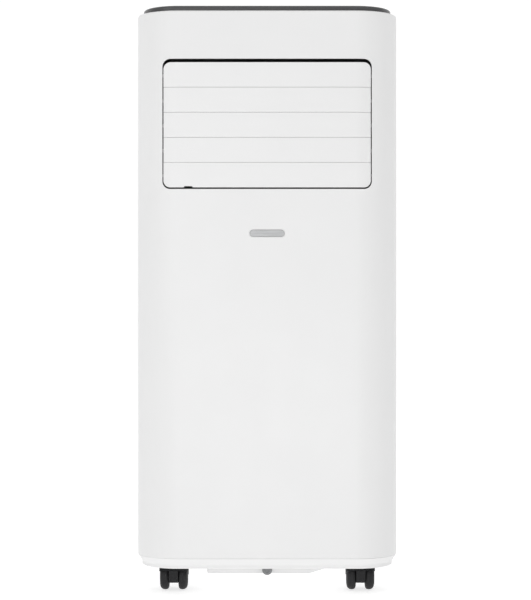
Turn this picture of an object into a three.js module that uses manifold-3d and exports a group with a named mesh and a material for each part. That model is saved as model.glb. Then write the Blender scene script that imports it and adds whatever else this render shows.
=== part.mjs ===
// Portable air conditioner: a tower cabinet on four twin-wheel castors.
// Millimetres, +Z up, +X to the right seen from the front, the front facing -Y.
// The origin is at floor level, under the middle of the bounding box.
import * as THREE from "three";
import { mergeVertices } from "three/addons/utils/BufferGeometryUtils.js";
import Module from "manifold-3d";

const wasm = await Module();
wasm.setup();

// ---- driving dimensions ----
const GAP = 0.3; // clearance between pieces that touch
const WIDTH = 305;
const DEPTH = 310;
const HEIGHT = 683;
const FRONT = -DEPTH / 2; // front face of the cabinet
const REAR = 143; // rear face of the cabinet; the exhaust collar stands out past it
const FRONT_CORNER = 50; // plan radii of the cabinet's corners
const REAR_CORNER = 32;
const CORNER_STEPS = 4; // half the flats of each plan corner
const WALL = 3;
const SHELL_BOTTOM = 43.4;
const SHELL_TOP = 676.2;
const SEAM_Y = 20; // where the front and the rear shell meet
const SKIRT_BOTTOM = 31;
const SKIRT_INSET = 5;
const SKIRT_TAPER = 8;
const FLOOR_UNDER = 40; // underside of the base tray's floor
const FLOOR_TOP = SHELL_BOTTOM - GAP;
const SUMP_BOTTOM = 20;
const SUMP_FRONT = -112;
const SUMP_BACK = 60;

const LOUVRE = { halfWidth: 121, bottom: 470.2, top: 620.6, corner: 9 };
const SLATS = 5;
const SLAT_BOTTOM = 471.8;
const SLAT_TOP = 616.6;
const SLAT_PITCH = (SLAT_TOP - SLAT_BOTTOM) / SLATS;
const SLAT_GAP = 0.4;
const SLAT_THICK = 2.8;
const SLAT_HALF = 119.8;
const SLAT_PIVOT_Y = FRONT + 13; // behind the curved corners of the shell
const SLAT_PIN_R = 2;
const SLAT_CRANK = 11; // lever arm from a slat's pivot to its tie bar
const RUNNING = 0.3; // radial clearance of a small pin in its hole

const DUCT = { half: 121.2, bottom: 468.5, top: 622.3, back: -90, wall: 2.5 };
const VANES = 5;
const VANE_PITCH = 40;
const VANE_PIVOT_Y = -112;
const VANE_CHORD = 28;
const VANE_THICK = 2;
const VANE_CRANK = 11;
const VANE_BOTTOM = 473.2;
const VANE_TOP = 620.5;

const CASTOR_X = 110;
const CASTOR_FRONT_Y = -112;
const CASTOR_REAR_Y = 95;
const CASTOR_TRAIL = 8;
const WHEEL_R = 17; // to the middle of a facet, so that a facet stands on the floor
const WHEEL_SIDES = 24;
const WHEEL_INNER = 5.6;
const WHEEL_OUTER = 16.2;
const HOOD_R = 20.3;
const HOOD_HALF = 16.4;
const AXLE_R = 3;
const STEM_R = 5;
const STEM_TOP = 53;

const PANEL_INSET = 6.7;
const PANEL_UNDER = 680;
const PANEL_LIP = 12.6;
const BUTTON_R = 7;
const BUTTON_TOP = HEIGHT - 0.2;
const BUTTON_PLACES = [
  [-75, -118],
  [-50, -118],
  [0, -90],
  [50, -118],
  [75, -118],
];
const DISPLAY = { halfX: 26, y: -118, halfY: 10 };

const EXHAUST_Z = 310;
const COLLAR_OUTER = 66;
const COLLAR_INNER = 61;
const COLLAR_FLANGE = 72;
const FILTER = { half: 112.3, bottom: 395, top: 640 };
const GRILLE = { half: 112.3, bottom: 60, top: 228 };
const HINGE_Y = REAR - WALL / 2;
const HINGE_Z = FILTER.bottom + 3.5;
const DECK_Z = 380;
const HANDLE = { y0: 30, y1: 105, z0: 560, z1: 592, depth: 24, wall: 2 };
const GLAND = { x: 105, z: 268, r: 6.5 };
const REAR_DRAIN = { x: -105, z: 352, r: 6 };
const PLUG_Z = 24.5;

// ---- materials ----
const paint = (color, roughness, metalness = 0) =>
  new THREE.MeshStandardMaterial({ color, roughness, metalness });
const WHITE = paint(0xecedee, 0.42);
const SLAT_WHITE = paint(0xf0f1f2, 0.4);
const BLACK_GLOSS = paint(0x0b0b0d, 0.08);
const DISPLAY_GLASS = paint(0x10141a, 0.05);
const BUTTON_GREY = paint(0x2b2d31, 0.35);
const DUCT_DARK = paint(0x2a2b2d, 0.6);
const CASTOR_BLACK = paint(0x232426, 0.5);
const WHEEL_BLACK = paint(0x1b1c1e, 0.55);
const RUBBER_GREY = paint(0x8d9093, 0.7);
const BADGE_GREY = paint(0xc2c4c6, 0.4);
const MESH_GREY = paint(0x4c5054, 0.8);
const COMPRESSOR_BLACK = paint(0x17181a, 0.35, 0.3);
const COPPER = paint(0xb87046, 0.35, 1);
const ALUMINIUM = paint(0xb8bcc0, 0.4, 1);
const STEEL = paint(0x9a9da1, 0.4, 1);
const BOARD_GREEN = paint(0x1f5a3a, 0.5);
const FOAM_WHITE = paint(0xdfe1e3, 0.9);

// ---- solids from three.js geometry ----
function solid(geometry) {
  const bare = geometry.index ? geometry.toNonIndexed() : geometry.clone();
  bare.deleteAttribute("normal");
  bare.deleteAttribute("uv");
  const merged = mergeVertices(bare, 1e-4);
  const vertProperties = merged.attributes.position.array;
  const triVerts = new Uint32Array(merged.index.array);
  return new wasm.Manifold(new wasm.Mesh({ numProp: 3, vertProperties, triVerts }));
}

function geometryOf(body) {
  const data = body.getMesh();
  const geometry = new THREE.BufferGeometry();
  geometry.setAttribute("position", new THREE.BufferAttribute(data.vertProperties, 3));
  geometry.setIndex(new THREE.BufferAttribute(data.triVerts, 1));
  geometry.computeVertexNormals();
  return geometry;
}

const join = (...bodies) => bodies.reduce((sum, body) => sum.add(body));
const cut = (body, ...tools) => tools.reduce((rest, tool) => rest.subtract(tool), body);

function box([x0, y0, z0], [x1, y1, z1]) {
  const geometry = new THREE.BoxGeometry(x1 - x0, y1 - y0, z1 - z0);
  geometry.translate((x0 + x1) / 2, (y0 + y1) / 2, (z0 + z1) / 2);
  return solid(geometry);
}

// Round bars along each axis: radius, ends along the axis, and the two other coordinates.
function rodZ(r, z0, z1, x, y, sides = 12) {
  const geometry = new THREE.CylinderGeometry(r, r, z1 - z0, sides);
  geometry.rotateX(Math.PI / 2);
  geometry.translate(x, y, (z0 + z1) / 2);
  return solid(geometry);
}

function rodY(r, y0, y1, x, z, sides = 12) {
  const geometry = new THREE.CylinderGeometry(r, r, y1 - y0, sides);
  geometry.translate(x, (y0 + y1) / 2, z);
  return solid(geometry);
}

function rodX(r, x0, x1, y, z, sides = 12) {
  const geometry = new THREE.CylinderGeometry(r, r, x1 - x0, sides);
  geometry.rotateZ(Math.PI / 2);
  geometry.translate((x0 + x1) / 2, y, z);
  return solid(geometry);
}

// The cabinet's outline in plan, moved inwards by inset.
function plan(inset) {
  const half = WIDTH / 2 - inset;
  const front = FRONT + inset;
  const rear = REAR - inset;
  const rf = FRONT_CORNER - inset;
  const rr = REAR_CORNER - inset;
  const shape = new THREE.Shape();
  shape.moveTo(-half + rf, front);
  shape.lineTo(half - rf, front);
  shape.absarc(half - rf, front + rf, rf, -Math.PI / 2, 0);
  shape.lineTo(half, rear - rr);
  shape.absarc(half - rr, rear - rr, rr, 0, Math.PI / 2);
  shape.lineTo(-half + rr, rear);
  shape.absarc(-half + rr, rear - rr, rr, Math.PI / 2, Math.PI);
  shape.lineTo(-half, front + rf);
  shape.absarc(-half + rf, front + rf, rf, Math.PI, Math.PI * 1.5);
  return shape;
}

function planPrism(inset, z0, z1) {
  const options = { depth: z1 - z0, bevelEnabled: false, curveSegments: CORNER_STEPS };
  const geometry = new THREE.ExtrudeGeometry(plan(inset), options);
  geometry.translate(0, 0, z0);
  return solid(geometry);
}

// A wall that follows the plan, from one inset to another.
const planRing = (outer, inner, z0, z1) =>
  cut(planPrism(outer, z0, z1), planPrism(inner, z0 - 1, z1 + 1));

// An outline drawn in X and Z, extruded from y0 to y1.
function slabXZ(shape, y0, y1, curveSegments = 3) {
  const options = { depth: y1 - y0, bevelEnabled: false, curveSegments };
  const geometry = new THREE.ExtrudeGeometry(shape, options);
  geometry.rotateX(Math.PI / 2);
  geometry.translate(0, y1, 0);
  return solid(geometry);
}

// An outline drawn in Y and Z, extruded from x0 to x1.
function slabYZ(shape, x0, x1, curveSegments = 4) {
  const options = { depth: x1 - x0, bevelEnabled: false, curveSegments };
  const geometry = new THREE.ExtrudeGeometry(shape, options);
  geometry.rotateX(Math.PI / 2);
  geometry.rotateZ(Math.PI / 2);
  geometry.translate(x0, 0, 0);
  return solid(geometry);
}

function roundedRect(x0, x1, y0, y1, r) {
  const shape = new THREE.Shape();
  shape.moveTo(x0 + r, y0);
  shape.lineTo(x1 - r, y0);
  shape.absarc(x1 - r, y0 + r, r, -Math.PI / 2, 0);
  shape.lineTo(x1, y1 - r);
  shape.absarc(x1 - r, y1 - r, r, 0, Math.PI / 2);
  shape.lineTo(x0 + r, y1);
  shape.absarc(x0 + r, y1 - r, r, Math.PI / 2, Math.PI);
  shape.lineTo(x0, y0 + r);
  shape.absarc(x0 + r, y0 + r, r, Math.PI, Math.PI * 1.5);
  return shape;
}

function polygon(points) {
  const shape = new THREE.Shape();
  points.forEach(([u, v], i) => (i ? shape.lineTo(u, v) : shape.moveTo(u, v)));
  return shape;
}

// A solid pipe along a smooth curve through the points.
function pipe(points, r, steps = 22, halfSides = 3) {
  const path = new THREE.CatmullRomCurve3(points.map((p) => new THREE.Vector3(...p)), false, "centripetal");
  const section = new THREE.Shape();
  section.absarc(0, 0, r, 0, Math.PI * 2);
  const options = { steps, extrudePath: path, curveSegments: halfSides, bevelEnabled: false };
  return solid(new THREE.ExtrudeGeometry(section, options));
}

// ---- the assembly ----
const unit = new THREE.Group();

function place(name, body, material) {
  const mesh = new THREE.Mesh(geometryOf(body), material);
  mesh.name = name;
  unit.add(mesh);
}

// ---- cabinet ----
const castorPlaces = [
  ["front_left", -CASTOR_X, CASTOR_FRONT_Y],
  ["front_right", CASTOR_X, CASTOR_FRONT_Y],
  ["rear_left", -CASTOR_X, CASTOR_REAR_Y],
  ["rear_right", CASTOR_X, CASTOR_REAR_Y],
];
const COMPRESSOR = { x: -78, y: -66, r: 52, bottom: 62, top: 250 };
const footPlaces = [107, 347, 287].map((angle) => {
  const turn = THREE.MathUtils.degToRad(angle);
  return [COMPRESSOR.x + 50 * Math.cos(turn), COMPRESSOR.y + 50 * Math.sin(turn)];
});
const FOOT_TOP = 57.6;

function taperedSkirt() {
  const options = {
    depth: 1,
    bevelEnabled: true,
    bevelThickness: SKIRT_TAPER,
    bevelSize: SKIRT_INSET,
    bevelSegments: 1,
    curveSegments: CORNER_STEPS,
  };
  const geometry = new THREE.ExtrudeGeometry(plan(SKIRT_INSET), options);
  geometry.translate(0, 0, FLOOR_TOP);
  const above = box([-200, -200, FLOOR_TOP], [200, 200, FLOOR_TOP + 20]);
  const taper = cut(solid(geometry), above);
  return join(taper, planPrism(SKIRT_INSET, SKIRT_BOTTOM, FLOOR_TOP - SKIRT_TAPER + 0.5));
}

function sump() {
  const outer = polygon([
    [-70.6, FLOOR_UNDER + 1],
    [-70.6, 22],
    [-68.6, SUMP_BOTTOM],
    [50, SUMP_BOTTOM],
    [78, 28.6],
    [78, FLOOR_UNDER + 1],
  ]);
  const inner = polygon([
    [-68, FLOOR_UNDER],
    [-68, SUMP_BOTTOM + 2.5],
    [49, SUMP_BOTTOM + 2.5],
    [75.4, 30.6],
    [75.4, FLOOR_UNDER],
  ]);
  return {
    shell: slabXZ(outer, SUMP_FRONT, SUMP_BACK),
    pocket: slabXZ(inner, SUMP_FRONT + WALL, SUMP_BACK - WALL),
  };
}

function makeBaseTray() {
  const bulge = sump();
  let tray = cut(taperedSkirt(), planPrism(SKIRT_INSET + WALL, SKIRT_BOTTOM - 1, FLOOR_UNDER));
  tray = join(tray, bulge.shell);
  tray = cut(tray, bulge.pocket, box([-5, -95, FLOOR_UNDER - 1], [70, 45, FLOOR_TOP + 1]));
  tray = join(tray, planRing(WALL + 0.4, WALL + 2.4, FLOOR_TOP - 0.5, FLOOR_TOP + 9));
  for (const [, x, y] of castorPlaces) {
    tray = join(tray, rodZ(9, FLOOR_UNDER + 1, 56, x, y));
    tray = cut(tray, rodZ(STEM_R + 0.4, FLOOR_UNDER - 1, STEM_TOP + 1, x, y));
  }
  for (const [x, y] of footPlaces) tray = join(tray, rodZ(7, FLOOR_TOP - 0.5, FOOT_TOP, x, y, 12));
  tray = cut(tray, rodY(3.8, SUMP_FRONT - 1, SUMP_FRONT + WALL + 1, 0, PLUG_Z, 12));
  place("base_tray", tray, WHITE);
}

function cabinetWall() {
  const wall = planRing(0, WALL, SHELL_BOTTOM, SHELL_TOP);
  return join(wall, planRing(0, 12, SHELL_TOP - WALL, SHELL_TOP));
}

function louvreOpening(y0, y1) {
  const { halfWidth, bottom, top, corner } = LOUVRE;
  return slabXZ(roundedRect(-halfWidth, halfWidth, bottom, top, corner), y0, y1);
}

const BADGE = { half: 20, z: 419, halfHeight: 4, thick: 0.8 };

function makeFrontShell(wall) {
  const behind = box([-200, SEAM_Y - GAP, 0], [200, 200, 700]);
  const seat = slabXZ(
    roundedRect(-BADGE.half - GAP, BADGE.half + GAP, BADGE.z - BADGE.halfHeight - GAP,
      BADGE.z + BADGE.halfHeight + GAP, BADGE.halfHeight + GAP - 0.01),
    FRONT - 1, FRONT + BADGE.thick + GAP);
  place("front_shell", cut(wall, behind, louvreOpening(FRONT - 1, SLAT_PIVOT_Y), seat), WHITE);
}

function makeNameplate() {
  const outline = roundedRect(-BADGE.half, BADGE.half, BADGE.z - BADGE.halfHeight,
    BADGE.z + BADGE.halfHeight, BADGE.halfHeight - 0.01);
  place("nameplate", slabXZ(outline, FRONT, FRONT + BADGE.thick), BADGE_GREY);
}

function makeRearShell(wall) {
  const ahead = box([-200, -200, 0], [200, SEAM_Y, 700]);
  const inside = REAR - WALL - 1;
  const outside = REAR + 1;
  let shell = cut(
    wall,
    ahead,
    box([-FILTER.half, inside, FILTER.bottom], [FILTER.half, outside, FILTER.top]),
    box([-GRILLE.half, inside, GRILLE.bottom], [GRILLE.half, outside, GRILLE.top]),
    rodY(COLLAR_OUTER + 0.5, inside, outside, 0, EXHAUST_Z, 32),
    rodY(GLAND.r + GAP, inside, outside, GLAND.x, GLAND.z),
    rodY(REAR_DRAIN.r + GAP, inside, outside, REAR_DRAIN.x, REAR_DRAIN.z),
    rodX(1.2, -FILTER.half - 4, FILTER.half + 4, HINGE_Y, HINGE_Z, 10),
  );
  for (const side of [-1, 1]) {
    const low = [Math.min(side * 140, side * 160), HANDLE.y0 - GAP, HANDLE.z0 - GAP];
    const high = [Math.max(side * 140, side * 160), HANDLE.y1 + GAP, HANDLE.z1 + GAP];
    shell = cut(shell, box(low, high));
  }
  place("rear_shell", shell, WHITE);
}

// A recessed cup in each side wall that the fingers reach into.
function makeHandles() {
  const { y0, y1, z0, z1, depth, wall } = HANDLE;
  for (const [name, side] of [["handle_left", -1], ["handle_right", 1]]) {
    const face = (side * WIDTH) / 2;
    const back = face - side * depth;
    const inner = back + side * wall;
    const outer = box([Math.min(face, back), y0, z0], [Math.max(face, back), y1, z1]);
    const beyond = face + side;
    const room = box(
      [Math.min(inner, beyond), y0 + wall, z0 + wall],
      [Math.max(inner, beyond), y1 - wall, z1 - wall],
    );
    place(name, cut(outer, room), WHITE);
  }
}

// ---- top panel, display and buttons ----
function makeTopPanel() {
  let panel = join(
    planPrism(PANEL_INSET, PANEL_UNDER, HEIGHT),
    planRing(PANEL_INSET, PANEL_INSET + WALL, SHELL_TOP + GAP, PANEL_UNDER + 0.5),
    planRing(PANEL_LIP, PANEL_LIP + 2.4, 660, PANEL_UNDER + 0.5),
  );
  for (const [x, y] of BUTTON_PLACES) {
    panel = cut(panel, rodZ(BUTTON_R + 0.35, PANEL_UNDER - 1, HEIGHT + 1, x, y, 16));
  }
  const { halfX, y, halfY } = DISPLAY;
  panel = cut(panel, box([-halfX, y - halfY, PANEL_UNDER - 1], [halfX, y + halfY, HEIGHT + 1]));
  place("top_panel", panel, BLACK_GLOSS);
}

function makeControls() {
  const { halfX, y, halfY } = DISPLAY;
  const low = [-halfX + GAP, y - halfY + GAP, PANEL_UNDER + 0.2];
  place("display_window", box(low, [halfX - GAP, y + halfY - GAP, HEIGHT - 0.1]), DISPLAY_GLASS);
  BUTTON_PLACES.forEach(([bx, by], i) => {
    const cap = rodZ(BUTTON_R, 678, BUTTON_TOP, bx, by, 16);
    place(`button_${i + 1}`, join(cap, rodZ(8.2, 678, PANEL_UNDER - GAP, bx, by, 16)), BUTTON_GREY);
  });
  let board = box([-95, -138, 672], [95, -76, 673.6]);
  board = join(board, box([-24, y - 9, 673], [24, y + 9, 678.5]));
  for (const [bx, by] of BUTTON_PLACES) board = join(board, rodZ(2.2, 673, 676.6, bx, by, 8));
  place("control_board", board, BOARD_GREEN);
}

// ---- front outlet: duct, slats, vanes and their tie bars ----
const slatZ = (i) => SLAT_TOP - SLAT_PITCH * (i + 0.5);
const vaneX = (i) => (i - (VANES - 1) / 2) * VANE_PITCH;

function makeOutletDuct() {
  const { half, bottom, top, back, wall } = DUCT;
  const outerHalf = half + wall;
  let duct = box([-outerHalf, FRONT, bottom - wall], [outerHalf, back, top + wall]);
  const lips = cut(
    box([-outerHalf, FRONT, bottom - 8], [outerHalf, SLAT_PIVOT_Y, top + 8]),
    planPrism(WALL + GAP + 2, bottom - 9, top + 9),
  );
  duct = join(duct, lips).intersect(planPrism(WALL + GAP, bottom - 20, top + 20));
  duct = cut(duct, box([-half, FRONT - 1, bottom], [half, back - wall, top]));
  duct = cut(duct, box([-80, back - wall - 1, 572], [80, back + 1, 612]));
  for (let i = 0; i < SLATS; i += 1) {
    duct = cut(duct, rodX(SLAT_PIN_R + RUNNING + 0.1, -140, 140, SLAT_PIVOT_Y, slatZ(i), 10));
  }
  for (let i = 0; i < VANES; i += 1) {
    duct = cut(duct, rodZ(SLAT_PIN_R + RUNNING + 0.1, bottom - 9, top + 9, vaneX(i), VANE_PIVOT_Y, 10));
  }
  place("outlet_duct", duct, DUCT_DARK);
}

// A slat bends back at its ends as the shell does, and turns on pins behind it.
function slat(i) {
  const z = slatZ(i);
  const h = (SLAT_PITCH - SLAT_GAP) / 2;
  const front = box([-SLAT_HALF, FRONT - 1, z - h], [SLAT_HALF, SLAT_PIVOT_Y - 2, z + h]);
  const opening = roundedRect(-SLAT_HALF, SLAT_HALF, SLAT_BOTTOM, SLAT_TOP, LOUVRE.corner - 1);
  let blade = planRing(0, SLAT_THICK, z - h - 1, z + h + 1).intersect(front);
  blade = blade.intersect(slabXZ(opening, FRONT - 1, SLAT_PIVOT_Y));
  for (const side of [-1, 1]) {
    const ear = [side * (SLAT_HALF - 3), side * SLAT_HALF].sort((a, b) => a - b);
    const pin = [side * (SLAT_HALF - 1), side * 123.2].sort((a, b) => a - b);
    blade = join(
      blade,
      box([ear[0], FRONT + 4, z - 4.5], [ear[1], SLAT_PIVOT_Y + 3, z + 4.5]),
      rodX(SLAT_PIN_R, pin[0], pin[1], SLAT_PIVOT_Y, z, 10),
    );
  }
  // Crank outside the duct's right wall, with the pin that the tie bar turns on.
  const crankY = SLAT_PIVOT_Y + SLAT_CRANK;
  blade = join(
    blade,
    rodX(SLAT_PIN_R, 123, 126.7, SLAT_PIVOT_Y, z, 10),
    box([124.2, SLAT_PIVOT_Y, z - SLAT_PIN_R], [126.7, crankY, z + SLAT_PIN_R]),
    rodX(SLAT_PIN_R, 124.2, 126.7, crankY, z, 10),
    rodX(1.5, 126, 130.4, crankY, z, 8),
  );
  if (i === SLATS - 1) {
    // Finger notch in the lowest slat's lower edge.
    blade = cut(blade, box([-96.5, FRONT - 1, z - h - 1], [-85.5, FRONT + 5, z - h + 1.8]));
  }
  return blade;
}

function makeSlats() {
  for (let i = 0; i < SLATS; i += 1) place(`louvre_slat_${i + 1}`, slat(i), SLAT_WHITE);
  const y = SLAT_PIVOT_Y + SLAT_CRANK;
  const ends = [slatZ(SLATS - 1), slatZ(0)];
  let bar = box([127.1, y - 3, ends[0]], [129.6, y + 3, ends[1]]);
  for (const z of ends) bar = join(bar, rodX(3, 127.1, 129.6, y, z, 12));
  for (let i = 0; i < SLATS; i += 1) bar = cut(bar, rodX(1.5 + RUNNING, 126, 131, y, slatZ(i), 8));
  place("louvre_tie_bar", bar, STEEL);
}

function makeVanes() {
  const front = VANE_PIVOT_Y - VANE_CHORD / 2;
  for (let i = 0; i < VANES; i += 1) {
    const x = vaneX(i);
    const half = VANE_THICK / 2;
    const vane = join(
      box([x - half, front, VANE_BOTTOM], [x + half, front + VANE_CHORD, VANE_TOP]),
      rodZ(SLAT_PIN_R, DUCT.bottom - 2, VANE_BOTTOM + 2, x, VANE_PIVOT_Y, 10),
      rodZ(SLAT_PIN_R, VANE_TOP - 2, DUCT.top + 2, x, VANE_PIVOT_Y, 10),
      rodZ(1.4, 469.6, VANE_BOTTOM + 2, x, VANE_PIVOT_Y - VANE_CRANK, 8),
    );
    place(`vane_${i + 1}`, vane, DUCT_DARK);
  }
  const y = VANE_PIVOT_Y - VANE_CRANK;
  let bar = join(
    box([vaneX(0), y - 2.5, 470.4], [vaneX(VANES - 1), y + 2.5, 472.6]),
    rodZ(2.5, 470.4, 472.6, vaneX(VANES - 1), y, 12),
    box([-98, y - 5, 470.4], [-87, y + 3, 472.6]),
    box([-90, y - 2.5, 470.4], [vaneX(0), y + 2.5, 472.6]),
  );
  for (let i = 0; i < VANES; i += 1) bar = cut(bar, rodZ(1.4 + RUNNING, 469, 474, vaneX(i), y, 8));
  place("vane_tie_bar", bar, DUCT_DARK);
}

// ---- rear: filter, grille, exhaust, drain and cord gland ----
// A flat plate with rows of air slots, facing along Y.
function slotted(halfWidth, bottom, top, y0, y1) {
  const columns = 2;
  const pitch = 15;
  const slotHeight = 9;
  const margin = 9;
  const rib = 4;
  const column = (2 * (halfWidth - margin)) / columns;
  const rows = Math.floor((top - bottom - 2 * margin - rib) / pitch);
  const start = (bottom + top - (rows - 1) * pitch) / 2;
  let plate = box([-halfWidth, y0, bottom], [halfWidth, y1, top]);
  for (let row = 0; row < rows; row += 1) {
    for (let k = 0; k < columns; k += 1) {
      const x0 = -halfWidth + margin + k * column + rib / 2;
      const z0 = start + row * pitch - slotHeight / 2;
      plate = cut(plate, box([x0, y0 - 1, z0], [x0 + column - rib, y1 + 1, z0 + slotHeight]));
    }
  }
  return plate;
}

function makeFilter() {
  const { half, bottom, top } = FILTER;
  let door = slotted(half - GAP, bottom + 0.4, top - 0.4, REAR - WALL, REAR);
  door = join(
    door,
    rodX(1, -half - 2, -half + 6, HINGE_Y, HINGE_Z, 10),
    rodX(1, half - 6, half + 2, HINGE_Y, HINGE_Z, 10),
  );
  door = cut(door, box([-15, REAR - WALL - 1, top - 5], [15, REAR + 1, top + 1]));
  place("filter_door", door, WHITE);
  place("filter_mesh", box([-107, 134, bottom + 7], [107, REAR - WALL - GAP, top - 8]), MESH_GREY);
}

function makeLowerGrille() {
  const { half, bottom, top } = GRILLE;
  const grille = slotted(half - GAP, bottom + GAP, top - GAP, REAR - WALL, REAR);
  place("lower_grille", grille, WHITE);
}

function makeExhaustCollar() {
  const end = DEPTH / 2;
  let collar = join(
    rodY(COLLAR_OUTER, 137, end, 0, EXHAUST_Z, 32),
    rodY(COLLAR_FLANGE, REAR + GAP, REAR + WALL, 0, EXHAUST_Z, 32),
  );
  collar = cut(collar, rodY(COLLAR_INNER, 136, end + 1, 0, EXHAUST_Z, 32));
  for (const offset of [-30, 0, 30]) {
    const reach = Math.sqrt(COLLAR_INNER ** 2 - offset ** 2) + 2;
    collar = join(
      collar,
      box([offset - 1.2, 138, EXHAUST_Z - reach], [offset + 1.2, 140, EXHAUST_Z + reach]),
    );
  }
  const half = COLLAR_INNER + 2;
  collar = join(collar, box([-half, 138, EXHAUST_Z - 1.2], [half, 140, EXHAUST_Z + 1.2]));
  place("exhaust_collar", collar, WHITE);
}

function makeDrainsAndGland() {
  const plug = join(
    rodY(5.8, SUMP_FRONT - 7, SUMP_FRONT - GAP, 0, PLUG_Z, 14),
    rodY(3.4, SUMP_FRONT - 1, SUMP_FRONT + WALL - 0.2, 0, PLUG_Z, 12),
  );
  place("drain_plug", plug, RUBBER_GREY);
  const { x, z, r } = REAR_DRAIN;
  const cap = join(
    rodY(r + 2.5, REAR + GAP, REAR + 6, x, z, 14),
    rodY(r, REAR - 6, REAR + 1, x, z, 16),
  );
  place("rear_drain_cap", cap, RUBBER_GREY);
  let gland = join(
    rodY(GLAND.r + 2.5, REAR + GAP, REAR + 3, GLAND.x, GLAND.z, 14),
    rodY(GLAND.r, REAR - 7, REAR + 8, GLAND.x, GLAND.z, 16),
  );
  gland = cut(gland, rodY(3.6, REAR - 8, REAR + 9, GLAND.x, GLAND.z, 12));
  place("cord_gland", gland, CASTOR_BLACK);
}

// ---- castors ----
function hoodSolid(x, y) {
  const axleY = y + CASTOR_TRAIL;
  const arc = new THREE.Shape();
  const from = THREE.MathUtils.degToRad(-8);
  const to = THREE.MathUtils.degToRad(158);
  arc.absarc(axleY, WHEEL_R, HOOD_R, from, to);
  arc.absarc(axleY, WHEEL_R, HOOD_R - 2.2, to, from, true);
  const hub = new THREE.Shape();
  hub.absarc(axleY, WHEEL_R, 7.5, -Math.PI / 2, 0);
  hub.lineTo(axleY + 7.5, WHEEL_R + HOOD_R - 2.5);
  hub.lineTo(axleY - 15, WHEEL_R + 12);
  hub.lineTo(axleY - 18, WHEEL_R + 7);
  hub.lineTo(axleY - 16.5, WHEEL_R - 4);
  hub.lineTo(axleY - 13, WHEEL_R - 7.5);
  return join(
    slabYZ(arc, x - HOOD_HALF, x + HOOD_HALF, 7),
    slabYZ(hub, x - 5.2, x + 5.2, 4),
    rodX(AXLE_R, x - 15, x + 15, axleY, WHEEL_R, 12),
    rodZ(8, 34.8, 38.6, x, y, 14),
    rodZ(STEM_R, 38, STEM_TOP, x, y, 12),
  );
}

// A wheel with a flat facet on the floor and a chamfered outer edge.
function wheelSolid(x, y, side) {
  const tip = WHEEL_R / Math.cos(Math.PI / WHEEL_SIDES);
  const width = WHEEL_OUTER - WHEEL_INNER;
  const profile = [
    [0, 0],
    [tip, 0],
    [tip, width - 4],
    [tip - 3.5, width],
    [0, width],
  ].map(([r, h]) => new THREE.Vector2(r, h));
  const geometry = new THREE.LatheGeometry(profile, WHEEL_SIDES);
  geometry.rotateY(Math.PI / WHEEL_SIDES);
  geometry.rotateZ(-Math.PI / 2);
  if (side < 0) geometry.rotateY(Math.PI);
  geometry.translate(x + side * WHEEL_INNER, y + CASTOR_TRAIL, WHEEL_R);
  const bore = [x + side * (WHEEL_INNER - 1), x + side * 15.4].sort((a, b) => a - b);
  return cut(solid(geometry), rodX(AXLE_R + 0.2, bore[0], bore[1], y + CASTOR_TRAIL, WHEEL_R, 12));
}

function makeCastors() {
  for (const [where, x, y] of castorPlaces) {
    place(`castor_hood_${where}`, hoodSolid(x, y), CASTOR_BLACK);
    place(`castor_wheel_${where}_a`, wheelSolid(x, y, -1), WHEEL_BLACK);
    place(`castor_wheel_${where}_b`, wheelSolid(x, y, 1), WHEEL_BLACK);
  }
}

// ---- inside: cooling circuit, fans and electrics ----
function makeCompressor() {
  const { x, y, r, bottom, top } = COMPRESSOR;
  const profile = [
    [0, bottom],
    [r * 0.55, bottom + 2],
    [r * 0.9, bottom + 14],
    [r, bottom + 28],
    [r, top - 30],
    [r * 0.85, top - 12],
    [r * 0.5, top - 2],
    [0, top],
  ].map(([pr, pz]) => new THREE.Vector2(pr, pz));
  const geometry = new THREE.LatheGeometry(profile, 18);
  geometry.rotateX(Math.PI / 2);
  geometry.translate(x, y, 0);
  let body = join(solid(geometry), rodZ(4.2, top - 4, top + 10, x, y, 10));
  const plate = [...footPlaces].map(([fx, fy]) => rodZ(9, FOOT_TOP + GAP, 61, fx, fy, 8));
  body = join(body, ...plate, rodZ(42, FOOT_TOP + GAP, 61, x, y, 16), rodZ(24, 60, 66, x, y, 12));
  place("compressor", body, COMPRESSOR_BLACK);
  const tank = [
    [0, 92],
    [11, 94],
    [17, 104],
    [17, 198],
    [11, 210],
    [0, 212],
  ].map(([pr, pz]) => new THREE.Vector2(pr, pz));
  const tankGeometry = new THREE.LatheGeometry(tank, 18);
  tankGeometry.rotateX(Math.PI / 2);
  tankGeometry.translate(-6, -92, 0);
  place("suction_accumulator", solid(tankGeometry), COMPRESSOR_BLACK);
}

// A finned block with end plates and the return bends of its tubes.
function coil(y0, y1, z0, z1, bends) {
  const middle = (y0 + y1) / 2;
  let body = join(
    box([-111, y0, z0], [111, y1, z1]),
    box([-113, y0 - 1, z0 - 1], [-110, y1 + 1, z1 + 1]),
    box([110, y0 - 1, z0 - 1], [113, y1 + 1, z1 + 1]),
  );
  const pitch = (z1 - z0 - 20) / bends;
  for (let k = 0; k < bends; k += 1) {
    const z = z0 + 10 + (k + 0.5) * pitch;
    const bend = [
      [111, middle, z - 8],
      [118, middle, z - 7],
      [121, middle, z],
      [118, middle, z + 7],
      [111, middle, z + 8],
    ];
    body = join(body, pipe(bend, 3.4, 5, 3));
  }
  return body;
}

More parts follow.
